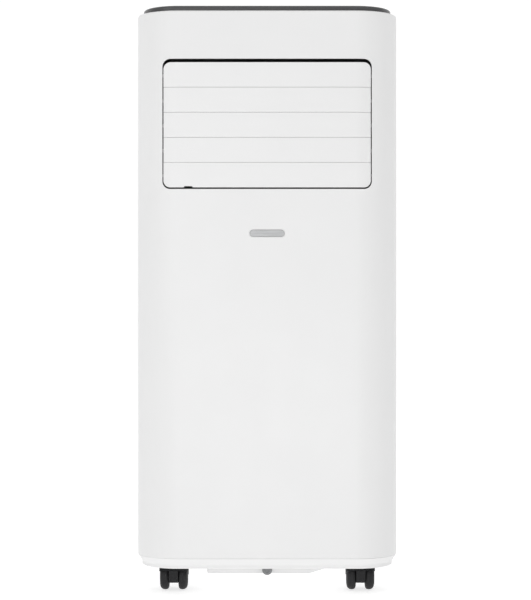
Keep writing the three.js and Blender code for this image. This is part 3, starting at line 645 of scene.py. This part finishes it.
def make_top_panel():
    """The glossy top with its inner skirt, pierced for the buttons and the display."""
    z0, z1 = SHELL_Z1 + 0.3 * MM, TOP_HI.z
    inset = PANEL_INSET
    skirt = inset + 5.9 * MM
    inner = skirt + SKIRT_WALL
    rim = [(skirt + 6 * MM, PANEL_UNDER), (inner, PANEL_UNDER), (inner, SKIRT_BOTTOM), (skirt, SKIRT_BOTTOM),
           (skirt, PANEL_UNDER), (inset + WALL, PANEL_UNDER), (inset + WALL, z0), (inset, z0),
           (inset, z1), (inset + 8 * MM, z1)]
    radii = [0, 0, 0.5 * MM, 0.5 * MM, 0, 0, 0.5 * MM, 0.5 * MM, 2.6 * MM, 0]
    panel = loft("top_cover", round_corners(rim, radii, 6), PANEL_BLACK)
    holes = [circle(x, y, BUTTON_R + BUTTON_GAP, 48) for x, y in in_mm(BUTTON_SPOTS)]
    low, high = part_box("display_window")
    holes.append(rounded_rect(low.x - FIT, high.x + FIT, low.y - FIT, high.y + FIT, 2 * MM, 6))
    cutters = [prism("cutter", hole, "Z", PANEL_UNDER - 5 * MM, z1 + 5 * MM) for hole in holes]
    shape(panel, cut=cutters, bevel=0.3 * MM)
    settle(panel, "cabinet", "black_gloss", "top_panel")
    outline = rounded_rect(low.x, high.x, low.y, high.y, 1.8 * MM, 6)
    window = prism("display_lens", outline, "Z", low.z, high.z, WINDOW)
    shape(window, bevel=0.25 * MM)
    settle(window, "cabinet", "display_glass", "display_window")
    middle, pitch, radius = (low.y + high.y) / 2, 7 * MM, 0.9 * MM
    dots = [prism("dot", circle(k * pitch, middle, radius, 20), "Z", high.z, high.z + PRINT)
            for k in range(-2, 3)]
    settle(join("status_dots", dots, LAMP), "cabinet", "badge_grey")


def stroke(path, width, z0, z1):
    """A thin raised line along a path of points in plan."""
    left, right = [], []
    for i, point in enumerate(path):
        before = Vector(path[max(i - 1, 0)])
        after = Vector(path[min(i + 1, len(path) - 1)])
        along = (after - before).normalized()
        across = Vector((-along.y, along.x)) * width / 2
        left.append(tuple(Vector(point) + across))
        right.append(tuple(Vector(point) - across))
    return prism("stroke", left + right[::-1], "Z", z0, z1)


def icon_paths(kind, x, y):
    """Generic control signs: power, fan, minus, plus and clock."""
    r = 2.6 * MM
    if kind == "power":
        return [arc(x, y, r, 120, 420, 28), [(x, y + 0.4 * MM), (x, y + 3.4 * MM)]]
    if kind == "fan":
        blades = []
        for turn in (90, 210, 330):
            base = math.radians(turn)
            centre = (x + 1.5 * MM * math.cos(base), y + 1.5 * MM * math.sin(base))
            blades.append(arc(*centre, 1.3 * MM, turn - 80, turn + 150, 14))
        return blades
    if kind == "clock":
        return [arc(x, y, r, 0, 359, 32), [(x, y + 1.7 * MM), (x, y)], [(x, y), (x + 1.3 * MM, y)]]
    bars = [[(x - r, y), (x + r, y)]]
    if kind == "plus":
        bars.append([(x, y - r), (x, y + r)])
    return bars


def make_buttons():
    """Round caps with a rounded rim, a slight dish, a flange under the panel and a printed sign."""
    kinds = ("fan", "clock", "power", "minus", "plus")
    r, flange_r, flange_top = BUTTON_R, 8.2 * MM, PANEL_UNDER - 0.3 * MM
    line, height = 0.45 * MM, 0.08 * MM
    for i, ((x, y), kind) in enumerate(zip(in_mm(BUTTON_SPOTS), kinds)):
        node = f"button_{i + 1}"
        low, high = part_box(node)
        top = high.z
        profile = [(0, low.z), (flange_r, low.z), (flange_r, flange_top), (r, flange_top),
                   (r, top - 0.9 * MM), (r - 0.3 * MM, top - 0.25 * MM), (r - 0.9 * MM, top),
                   (r - 2.4 * MM, top - 0.25 * MM), (0, top - 0.35 * MM)]
        cap = lathe(f"{node}_cap", profile, "Z", (x, y, 0), 48, BUTTON)
        settle(smooth(cap), node, "button_grey", node)
        z = top - 0.36 * MM
        strokes = [stroke(path, line, z, z + height) for path in icon_paths(kind, x, y)]
        sign = join(f"{node}_sign", strokes, ICON)
        settle(sign, node, "badge_grey")


# ---- louvre and vanes ----
SLAT_HALF = 119.8 * MM
SLAT_THICK = 2.8 * MM
SLAT_REACH = 0.06 * MM  # how far the slats' edges reach into the gaps between them
SLAT_CORNER = 8 * MM
NOTCH_LEFT = -96 * MM
NOTCH_RIGHT = -86 * MM
NOTCH_TALL = 1.4 * MM
PIVOT_Y = FRONT + 13 * MM
CRANK_Y = FRONT + 24 * MM
CRANK_R = 2 * MM
VANE_COUNT = 5
VANE_Z0 = 473.2 * MM
VANE_Z1 = 620.5 * MM
STUD_Z0 = 469.6 * MM


def slat_path(inset):
    """The plan's front line over the width of a slat, bent back where the corners start."""
    r = CORNER_FRONT - inset
    cx, cy = HALF - CORNER_FRONT, FRONT + CORNER_FRONT
    limit = math.degrees(math.asin((SLAT_HALF - cx) / CORNER_FRONT))
    right = arc(cx, cy, r, 270, 270 + limit, 8)
    left = [(-x, y) for x, y in reversed(right)]
    return left + right


def make_slats():
    """Five slats: the outer two follow the opening's corners, the lowest has a finger notch."""
    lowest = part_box(f"louvre_slat_{SLAT_COUNT}")[0].z
    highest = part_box("louvre_slat_1")[1].z
    for i in range(SLAT_COUNT):
        node = f"louvre_slat_{i + 1}"
        low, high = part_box(node)
        z0, z1 = low.z - SLAT_REACH * (i < SLAT_COUNT - 1), high.z + SLAT_REACH * (i > 0)
        section = [(0, z0), (0, z1), (SLAT_THICK, z1), (SLAT_THICK, z0)]
        slat = sweep(f"{node}_blade", section, slat_path, SLAT_WHITE)
        cut, keep = [], []
        if i in (0, SLAT_COUNT - 1):
            outline = rounded_rect(-SLAT_HALF - HAIR, SLAT_HALF + HAIR, lowest - HAIR, highest + HAIR,
                                   SLAT_CORNER, 8)
            keep.append(prism("keep", outline, "Y", FRONT - DEEP, FRONT + DEEP))
        if i == SLAT_COUNT - 1:
            outline = rounded_rect(NOTCH_LEFT, NOTCH_RIGHT, low.z - 3 * MM, low.z + NOTCH_TALL, 1.2 * MM, 5)
            cut.append(prism("notch", outline, "Y", FRONT - DEEP, FRONT + DEEP))
        shape(slat, cut=cut, keep=keep, bevel=0.22 * MM)
        settle(slat, node, "louvre_white", node)
        make_slat_fittings(node, (low.z + high.z) / 2)


def make_slat_fittings(node, z):
    """Ears, pivot pins and the crank behind one slat."""
    front, back = FRONT + 4.6 * MM, PIVOT_Y + 3 * MM
    wide, narrow, corner = 4.5 * MM, 3 * MM, 2.9 * MM
    points = [(front, z - wide), (back, z - narrow), (back, z + narrow), (front, z + wide)]
    ear = round_corners(points, [0, corner, corner, 0], 5)
    pin = in_mm([(0, 119), (2, 119), (2, 122.9), (1.7, 123.2), (0, 123.2)])
    shaft = in_mm([(0, 123), (2, 123), (2, 125), (0, 125)])
    stud = in_mm([(0, 126), (1.5, 126), (1.5, 130.2), (0, 130.4)])
    pieces = []
    for side in (-1, 1):
        pieces.append(prism("ear", ear, "X", *sorted((side * 116.8 * MM, side * 119.6 * MM))))
        pieces.append(lathe("pin", [(r, side * a) for r, a in pin], "X", (0, PIVOT_Y, z), 20))
    crank = arc(PIVOT_Y, z, CRANK_R, 90, 270, 8) + arc(CRANK_Y, z, CRANK_R, -90, 90, 8)
    pieces.append(prism("crank", crank, "X", 124.2 * MM, 126.7 * MM))
    pieces.append(lathe("shaft", shaft, "X", (0, PIVOT_Y, z), 20))
    pieces.append(lathe("stud", stud, "X", (0, CRANK_Y, z), 16))
    fittings = smooth(join(f"{node}_fittings", pieces, SLAT_WHITE))
    settle(fittings, node, "louvre_white")


def make_vanes():
    """Upright blades with tapered edges, pins at both ends and a stud for the tie bar."""
    half, edge, front_taper, rear_taper = 1 * MM, 0.35 * MM, 6 * MM, 8 * MM
    pin_r, tip_r = 2 * MM, 1.2 * MM
    stud_r, stud_ahead = 1.4 * MM, 11 * MM
    z0, z1 = VANE_Z0, VANE_Z1
    low_cone, low_tip = z0 + 6 * MM, z0 + 8 * MM
    high_cone, high_tip = z1 - 6 * MM, z1 - 8 * MM
    stud = [(0, STUD_Z0), (stud_r, STUD_Z0), (stud_r, z0 + 2 * MM), (0, z0 + 2 * MM)]
    for i in range(VANE_COUNT):
        node = f"vane_{i + 1}"
        low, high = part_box(node)
        x = (low.x + high.x) / 2
        y0, y1 = low.y, high.y
        middle = (y0 + y1) / 2
        front, rear = y0 + front_taper, y1 - rear_taper
        plan = [(x - edge, y0), (x + edge, y0), (x + half, front), (x + half, rear),
                (x + edge, y1), (x - edge, y1), (x - half, rear), (x - half, front)]
        lower = [(0, low.z), (pin_r, low.z), (pin_r, low_cone), (tip_r, low_tip), (0, low_tip)]
        upper = [(0, high_tip), (tip_r, high_tip), (pin_r, high_cone), (pin_r, high.z), (0, high.z)]
        pieces = [
            prism("blade", plan, "Z", z0, z1),
            lathe("pin", lower, "Z", (x, middle, 0), 20),
            lathe("pin", upper, "Z", (x, middle, 0), 20),
            lathe("stud", stud, "Z", (x, middle - stud_ahead, 0), 16),
        ]
        vane = smooth(join(f"{node}_blade", pieces, DUCT))
        settle(vane, node, "duct_dark", node)


# ---- rear ----
DOOR_HALF = 112 * MM
HINGE_Y = REAR - WALL / 2
HINGE_Z = 398.5 * MM
SLOT_PITCH = 15 * MM
SLOT_TALL = 9 * MM


def slots_in(low, high):
    """Outlines of the air slots of a flat grille, in two columns, as in the frame."""
    columns, margin, rib, corner = 2, 9 * MM, 4 * MM, 2.2 * MM
    column = (high.x - low.x - 2 * margin) / columns
    rows = int((high.z - low.z - 2 * margin - rib) / SLOT_PITCH)
    start = (high.z + low.z - (rows - 1) * SLOT_PITCH) / 2
    for row in range(rows):
        for k in range(columns):
            x0 = low.x + margin + k * column + rib / 2
            z0 = start + row * SLOT_PITCH - SLOT_TALL / 2
            yield rounded_rect(x0, x0 + column - rib, z0, z0 + SLOT_TALL, corner, 4)


def grille_plate(name, node, low, high, body, extra=()):
    """A flat slotted plate in the rear shell; extra holds more cutters."""
    plate = prism(name, rounded_rect(low.x, high.x, low.z, high.z, 1.3 * MM, 4), "Y",
                  REAR - WALL, REAR, WHITE)
    slots = [prism("slot", outline, "Y", REAR - DEEP, REAR + DEEP) for outline in slots_in(low, high)]
    shape(plate, cut=[join("slots", slots), *extra], bevel=0.45 * MM, steps=2)
    settle(plate, body, "white_shell", node)


def make_filter():
    """The filter door with its thumb notch and hinge pins, and the filter behind it."""
    low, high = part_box("filter_door")
    low = Vector((-DOOR_HALF, low.y, low.z))
    high = Vector((DOOR_HALF, high.y, high.z))
    notch_half, notch_deep = 15 * MM, 4.6 * MM
    outline = rounded_rect(-notch_half, notch_half, high.z - notch_deep, high.z + 9 * MM, 2 * MM, 5)
    notch = prism("notch", outline, "Y", REAR - DEEP, REAR + DEEP)
    grille_plate("filter_cover", "filter_door", low, high, "filter", extra=[notch])
    profile = in_mm([(0, 108), (1, 108), (1, 114.1), (0.8, 114.3), (0, 114.3)])
    for side, name in ((-1, "left"), (1, "right")):
        pin = lathe(f"filter_hinge_pin_{name}", [(r, side * a) for r, a in profile], "X",
                    (0, HINGE_Y, HINGE_Z), 18, WHITE)
        settle(smooth(pin), "filter", "white_shell")
    make_filter_net()


def make_filter_net():
    """A frame with four bays, filled by threads that cross."""
    low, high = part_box("filter_mesh")
    middle = (low.y + high.y) / 2
    rim, bays, past = 5 * MM, 2, 1 * MM
    outline = rounded_rect(low.x, high.x, low.z, high.z, 3 * MM, 5)
    outer = prism("filter_net_frame", outline, "Y", low.y, high.y, FILTER_FRAME)
    holes = []
    width = (high.x - low.x - rim) / bays
    tall = (high.z - low.z - rim) / bays
    for i in range(bays):
        for j in range(bays):
            x0 = low.x + rim + i * width
            z0 = low.z + rim + j * tall
            outline = rounded_rect(x0, x0 + width - rim, z0, z0 + tall - rim, 2 * MM, 4)
            holes.append(prism("bay", outline, "Y", low.y - past, high.y + past))
    shape(outer, cut=[join("bays", holes)], bevel=0.3 * MM, steps=2)
    settle(outer, "filter", "filter_grey", "filter_mesh")
    pitch, thread = 2.4 * MM, 0.19 * MM
    x0, x1 = low.x + rim / 2, high.x - rim / 2
    z0, z1 = low.z + rim / 2, high.z - rim / 2
    spans = []
    for k in range(1, int((high.x - low.x - 2 * rim) / pitch)):
        x = low.x + rim + k * pitch
        spans.append(((x - thread, middle, z0), (x + thread, middle + 2 * thread, z1)))
    for k in range(1, int((high.z - low.z - 2 * rim) / pitch)):
        z = low.z + rim + k * pitch
        spans.append(((x0, middle - 2 * thread, z - thread), (x1, middle, z + thread)))
    net = boxes("filter_net", spans, NET)
    settle(net, "filter", "filter_grey")


def make_lower_grille():
    low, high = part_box("lower_grille")
    grille_plate("condenser_grille", "lower_grille", low, high, "cabinet")


def make_exhaust():
    """The hose collar with its flange, four catches for the hose and a guard of thin bars."""
    low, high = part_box("exhaust_collar")
    z = (low.z + high.z) / 2
    outer, inner, flange, rim = 66 * MM, 61 * MM, 72 * MM, 2.7 * MM
    face, end, back = REAR + 0.3 * MM, high.y, low.y
    corners = [(inner, back), (outer, back), (outer, face), (flange, face), (flange, face + rim),
               (outer, face + rim), (outer, end), (inner, end)]
    radii = [0.5 * MM, 0.5 * MM, 0, 0.3 * MM, 1.6 * MM, 1.2 * MM, 1.6 * MM, 1.6 * MM]
    profile = round_corners(corners, radii, 4)
    collar = lathe("hose_collar", profile, "Y", (0, 0, z), 96, WHITE, closed=True)
    settle(smooth(collar), "cabinet", "white_shell", "exhaust_collar")
    bar, spacing, sunk = 1.2 * MM, 30 * MM, 2 * MM
    y0, y1, step = 138 * MM, 140 * MM, 0.2 * MM
    bars = []
    for offset in (-spacing, 0, spacing):
        reach = math.sqrt(inner ** 2 - offset ** 2) + sunk
        bars.append(((offset - bar, y0, z - reach), (offset + bar, y1, z + reach)))
    bars.append(((-inner - sunk, y0 + step, z - bar), (inner + sunk, y1 - step, z + bar)))
    guard = boxes("exhaust_guard", bars, WHITE)
    shape(guard, bevel=0.35 * MM, steps=2)
    settle(guard, "cabinet", "white_shell")
    low_r, high_r, spread = outer - 0.5 * MM, outer + 3 * MM, 9
    lugs = []
    for turn in (45, 135, 225, 315):
        start, stop = turn - spread, turn + spread
        points = arc(0, z, low_r, start, stop, 8) + arc(0, z, high_r, stop, start, 8)
        lugs.append(prism("lug", points, "Y", face + 6 * MM, face + 8.6 * MM))
    catches = join("hose_catches", lugs, WHITE)
    shape(catches, bevel=0.4 * MM, steps=2)
    settle(catches, "cabinet", "white_shell")


def make_drains_and_gland():
    """Three turned parts; each profile is (radius, distance along Y) in millimetres."""
    low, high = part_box("drain_plug")
    centre = (0, low.y, (low.z + high.z) / 2)
    profile = [(0, 1.3), (2.4, 1.3), (2.9, 0.4), (4.9, 0), (5.6, 0.5), (5.8, 1.3), (5.8, 6.0), (5.3, 6.6),
               (3.4, 6.7), (3.4, 9.6), (3.0, 9.8), (0, 9.8)]
    plug = lathe("drain_stopper", in_mm(profile), "Y", centre, 40, RUBBER)
    settle(smooth(plug), "drain_plug", "rubber_grey", "drain_plug")
    low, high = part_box("rear_drain_cap")
    centre = ((low.x + high.x) / 2, 0, (low.z + high.z) / 2)
    profile = [(0, 137), (5.4, 137), (6.0, 138), (6.0, 143.3), (8.3, 143.3), (8.5, 143.8), (8.5, 147.6),
               (7.6, 148.8), (5.0, 149), (4.4, 148.2), (0, 148.2)]
    cap = lathe("rear_drain_stopper", in_mm(profile), "Y", centre, 40, RUBBER)
    settle(smooth(cap), "rear_drain_cap", "rubber_grey", "rear_drain_cap")
    low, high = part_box("cord_gland")
    centre = ((low.x + high.x) / 2, 0, (low.z + high.z) / 2)
    profile = [(3.6, 136), (6.5, 136), (6.5, 143.3), (8.6, 143.3), (9.0, 143.8), (8.8, 145.4), (7.2, 146),
               (6.6, 146.6), (5.9, 150.6), (5.2, 151), (4.0, 151), (3.6, 150.4)]
    gland = lathe("cord_bushing", in_mm(profile), "Y", centre, 40, SHADE_DARKENED_NYLON, closed=True)
    settle(smooth(gland), "cabinet", "castor_black", "cord_gland")


# ---- castors ----
TRAIL = 8 * MM
AXLE_Z = 17 * MM
HOOD_R = 20.3 * MM
HOOD_WALL = 2.2 * MM
HOOD_HALF = 16.4 * MM
HOOD_START = -8  # degrees round the axle, from the rear towards the top
HOOD_STOP = 158
WEB_HALF = 5.4 * MM
HUB_R = 7.5 * MM
COLLAR_R = 8 * MM
RIBS = 6


def stem_y(name):
    """The stem stands ahead of the axle by the trail."""
    low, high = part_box(f"castor_wheel_{name}_a")
    return (low.y + high.y) / 2 - TRAIL


def make_castors():
    for name in CASTORS:
        low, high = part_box(f"castor_hood_{name}")
        make_hood(name, (low.x + high.x) / 2, stem_y(name))
        for letter in "ab":
            make_wheel(name, letter)


def make_hood(name, x, y):
    """A curved hood over both wheels, with a web and hub between them, a stem and an axle."""
    axle_y = y + TRAIL
    outline = arc(axle_y, AXLE_Z, HOOD_R, HOOD_START, HOOD_STOP, 26)
    outline += arc(axle_y, AXLE_Z, HOOD_R - HOOD_WALL, HOOD_STOP, HOOD_START, 26)
    # the hood's nylon is darker than the wheels' because of painted shade from the skirt above it
    hood = prism(f"castor_hood_{name}_body", outline, "X", x - HOOD_HALF, x + HOOD_HALF, SHADE_DARKENED_NYLON)
    front = in_mm([(-15, 12), (-18, 7), (-16.5, -4), (-13, -7.5)])
    outline = arc(axle_y, AXLE_Z, HUB_R, 270, 360, 10)
    outline.append((axle_y + HUB_R, AXLE_Z + HOOD_R - 2.6 * MM))
    outline += [(axle_y + ahead, AXLE_Z + above) for ahead, above in front]
    web = prism("web", outline, "X", x - WEB_HALF, x + WEB_HALF)
    collar = prism("collar", circle(x, y, COLLAR_R, 32), "Z", 34.9 * MM, 38.6 * MM)
    shape(hood, add=[web, collar], bevel=0.7 * MM)
    body = f"castor_{name}"
    settle(hood, body, "castor_black", f"castor_hood_{name}")
    stem = [(0, 38), (5, 38), (5, 44), (4.3, 44.6), (4.3, 47), (5, 47.6), (5, 51.6), (3.8, 53), (0, 53)]
    pin = lathe(f"castor_stem_{name}", in_mm(stem), "Z", (x, y, 0), 32, SCREW)
    settle(smooth(pin), body, "steel")
    axle = [(0, -15), (2.7, -15), (3, -14.7), (3, 14.7), (2.7, 15), (0, 15)]
    rod = lathe(f"castor_axle_{name}", in_mm(axle), "X", (x, axle_y, AXLE_Z), 28, SCREW)
    settle(smooth(rod), body, "steel")


def make_wheel(name, letter):
    """A nylon wheel: rounded tread, dished outer face with a hub boss and six ribs."""
    node = f"castor_wheel_{name}_{letter}"
    low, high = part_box(node)
    side = -1 if letter == "a" else 1
    inner = low.x if side > 0 else high.x
    centre = (inner, (low.y + high.y) / 2, (low.z + high.z) / 2)
    r = (high.z - low.z) / 2 / MM
    profile = [(3.2, 0), (r - 3.2, 0), (r - 1.5, 0.6), (r - 0.5, 1.7), (r, 3.4), (r, 5.6), (r - 0.5, 7.4),
               (r - 1.8, 9.2), (r - 3.4, 10.2), (r - 5.2, 10.6), (r - 5.9, 10.3), (r - 6.3, 9.4), (6.2, 9.2),
               (5.6, 9.6), (5.2, 10.4), (4.4, 10.6), (0, 10.6), (0, 9.7), (3.2, 9.7)]
    profile = in_mm([(across, side * along) for across, along in profile])
    wheel = lathe(f"{node}_rim", profile, "X", centre, 64, WHEEL, closed=True)
    smooth(wheel, math.radians(45))
    settle(wheel, node, "wheel_black", node)
    rib_start, rib_end, rib_half = 5.4 * MM, (r - 5.6) * MM, 0.6 * MM
    x0, x1 = sorted((inner + side * 9.0 * MM, inner + side * 10.2 * MM))
    middle = Vector(centre[1:])
    ribs = []
    for k in range(RIBS):
        turn = 2 * math.pi * k / RIBS
        out = Vector((math.cos(turn), math.sin(turn)))
        across = Vector((-math.sin(turn), math.cos(turn))) * rib_half
        start, end = middle + out * rib_start, middle + out * rib_end
        corners = [start - across, end - across, end + across, start + across]
        ribs.append(prism("rib", corners, "X", x0, x1))
    settle(join(f"{node}_ribs", ribs, WHEEL), node, "wheel_black")


# ---- inside ----
COIL_HALF = 111 * MM
FIN_HALF = 0.15 * MM
FIN_PITCH = 1.6 * MM
PLATE_START = COIL_HALF + 0.6 * MM
PLATE_END = COIL_HALF + 2 * MM
TUBE_R = 3.4 * MM
TUBE_SIDES = 12
TUBE_INSET = 7 * MM
BEND_START = COIL_HALF + 2.4 * MM
BEND_REACH = 8.5 * MM


def tube(path):
    """A closed round tube along a path that lies flat across Y."""
    points = [Vector(p) for p in path]
    across = Vector((0, 1, 0))
    count, last = len(points), len(points) - 1
    verts = []
    for i, point in enumerate(points):
        along = (points[min(i + 1, last)] - points[max(i - 1, 0)]).normalized()
        out = along.cross(across)
        verts += [point + across * u + out * v for u, v in circle(0, 0, TUBE_R, TUBE_SIDES)]
    faces = [tuple(range(TUBE_SIDES)), tuple(range(last * TUBE_SIDES, count * TUBE_SIDES))]
    for i in range(last):
        low, high = i * TUBE_SIDES, (i + 1) * TUBE_SIDES
        for k in range(TUBE_SIDES):
            m = (k + 1) % TUBE_SIDES
            faces.append((low + k, low + m, high + m, high + k))
    return new_object("tube", mesh_from("tube", verts, faces))


def make_coil(node, rows):
    """Thin fins between two end plates, and two layers of copper tubes with return bends."""
    low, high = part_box(node)
    y0, y1 = low.y + 1 * MM, high.y - 1 * MM
    z0, z1 = low.z + 1 * MM, high.z - 1 * MM
    spans = []
    for k in range(int(2 * COIL_HALF / FIN_PITCH) + 1):
        x = -COIL_HALF + k * FIN_PITCH
        spans.append(((x - FIN_HALF, y0, z0), (x + FIN_HALF, y1, z1)))
    fins = boxes(f"{node}_fins", spans, FINS)
    settle(fins, "cabinet", "aluminium", node)
    rim = 0.8 * MM
    spans = [((x0, y0 - rim, z0 - rim), (x1, y1 + rim, z1 + rim))
             for x0, x1 in ((-PLATE_END, -PLATE_START), (PLATE_START, PLATE_END))]
    settle(boxes(f"{node}_plates", spans, STEEL), "cabinet", "steel")
    step = (z1 - z0) / rows
    turns = [math.radians(15 * i) for i in range(1, 12)]
    pieces = []
    for y in (y0 + TUBE_INSET, y1 - TUBE_INSET):
        for k in range(rows):
            z = z0 + (k + 0.5) * step
            side = 1 if k % 2 else -1
            run = [(-side * BEND_START, y, z), (side * BEND_START, y, z)]
            if k < rows - 1:
                run += [(side * (BEND_START + BEND_REACH * math.sin(t)), y, z + step / 2 * (1 - math.cos(t)))
                        for t in turns]
                run.append((side * BEND_START, y, z + step))
            pieces.append(tube(run))
    copper = smooth(join(f"{node}_tubes", pieces, COPPER))
    settle(copper, "cabinet", "copper")


def dress_frame_nodes():
    """Better materials on the CAD nodes that stay."""
    finishes = {
        "outlet_duct": DUCT,
        "vane_tie_bar": DUCT,
        "louvre_tie_bar": STEEL,
        "control_board": BOARD,
        "control_box": STEEL,
        "compressor": PAINT,
        "suction_accumulator": PAINT,
        "discharge_pipe": COPPER,
        "suction_pipe": COPPER,
        "upper_fan_scroll": FOAM,
        "lower_fan_scroll": FOAM,
        "middle_deck": FOAM,
        "upper_blower": DUCT,
        "lower_blower": DUCT,
        "upper_motor": STEEL,
        "lower_motor": STEEL,
    }
    for name, material in finishes.items():
        node = NODES[name]
        node.data.materials.clear()
        node.data.materials.append(material)


make_front_shell()
make_nameplate()
make_rear_shell()
make_screws()
make_handles()
make_base()
make_top_panel()
make_buttons()
make_slats()
make_vanes()
make_filter()
make_lower_grille()
make_exhaust()
make_drains_and_gland()
make_castors()
make_coil("evaporator_coil", 10)
make_coil("condenser_coil", 7)
dress_frame_nodes()


# ---- camera, floor and light ----
FLOOR_GLOW = 0.70
BACKDROP_GLOW = 0.66
WORLD_LIGHT = 0.51


def glowing(name, strength):
    """A matt grey that also gives off some light of its own."""
    made = Nodes(name, (0.5, 0.5, 0.5), 0.9, Emission_Color=(1, 1, 1, 1), Emission_Strength=strength)
    made.vary_color(made.noise(3, 2), (0.495, 0.495, 0.495))
    return made.material


def make_stage():
    """A pale, softly glowing floor that curves up into a backdrop far behind the object."""
    wide, near, far, tall, r = 40.0, -40.0, 4.5, 8.0, 2.0
    line = [(near, 0.0), *arc(far - r, r, r, 270, 360, 15), (far, tall)]
    verts = [(x, y, z) for y, z in line for x in (-wide, wide)]
    faces = [(2 * i, 2 * i + 1, 2 * i + 3, 2 * i + 2) for i in range(len(line) - 1)]
    mesh = bpy.data.meshes.new("studio_floor")
    mesh.from_pydata(verts, [], faces)
    mesh.materials.append(glowing("floor_white", FLOOR_GLOW))
    mesh.materials.append(glowing("backdrop_white", BACKDROP_GLOW))
    for face in mesh.polygons:
        face.use_smooth = True
        face.material_index = int(face.index > 0)
    floor = new_object("studio_floor", mesh)
    floor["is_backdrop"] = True


def area_light(name, place, target, size, power):
    """A round lamp of a width in metres and a power in watts, aimed at a target."""
    data = bpy.data.lights.new(name, "AREA")
    data.shape, data.size, data.energy = "DISK", size, power
    lamp = bpy.data.objects.new(name, data)
    SCENE.collection.objects.link(lamp)
    lamp.location = place
    lamp.visible_camera = False
    lamp.rotation_euler = (Vector(target) - Vector(place)).to_track_quat("-Z", "Y").to_euler()


def make_light():
    """An even white surround, a large soft lamp in front, and small ones low, left and above."""
    world = bpy.data.worlds.new("studio")
    world.use_nodes = True
    surround = world.node_tree.nodes["Background"]
    surround.inputs["Color"].default_value = (1, 1, 1, 1)
    surround.inputs["Strength"].default_value = WORLD_LIGHT
    SCENE.world = world
    area_light("softbox", (-0.7, -4.4, 0.5), (0, 0, 0.3), 2.2, 21)
    area_light("low_fill", (0, -1.25, 0.06), (0, 0, 0.06), 0.2, 0.9)
    area_light("key", (-1.6, -2.2, 1.5), (0, 0, 0.35), 1.6, 6)
    area_light("top", (0.2, -0.4, 2.6), (0, 0, 0.5), 1.8, 8)


def make_camera():
    """Level with the middle of the front, about two metres away, as the object is looked at."""
    distance, height, lens, sensor, shift = 1.99, 0.342, 103.5, 36.0, -0.0027
    data = bpy.data.cameras.new("view")
    data.lens, data.sensor_width, data.shift_x = lens, sensor, shift
    camera = bpy.data.objects.new("view", data)
    SCENE.collection.objects.link(camera)
    camera.location = (0, FRONT - distance, height)
    camera.rotation_euler = (math.radians(90), 0, 0)
    SCENE.camera = camera


make_stage()
make_light()
make_camera()
SCENE.view_settings.view_transform = "Standard"

sizes = {"cad": cad_bounds, "visual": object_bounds()}
{k: [[float(n) for n in corner] for corner in v] for k, v in sizes.items()}
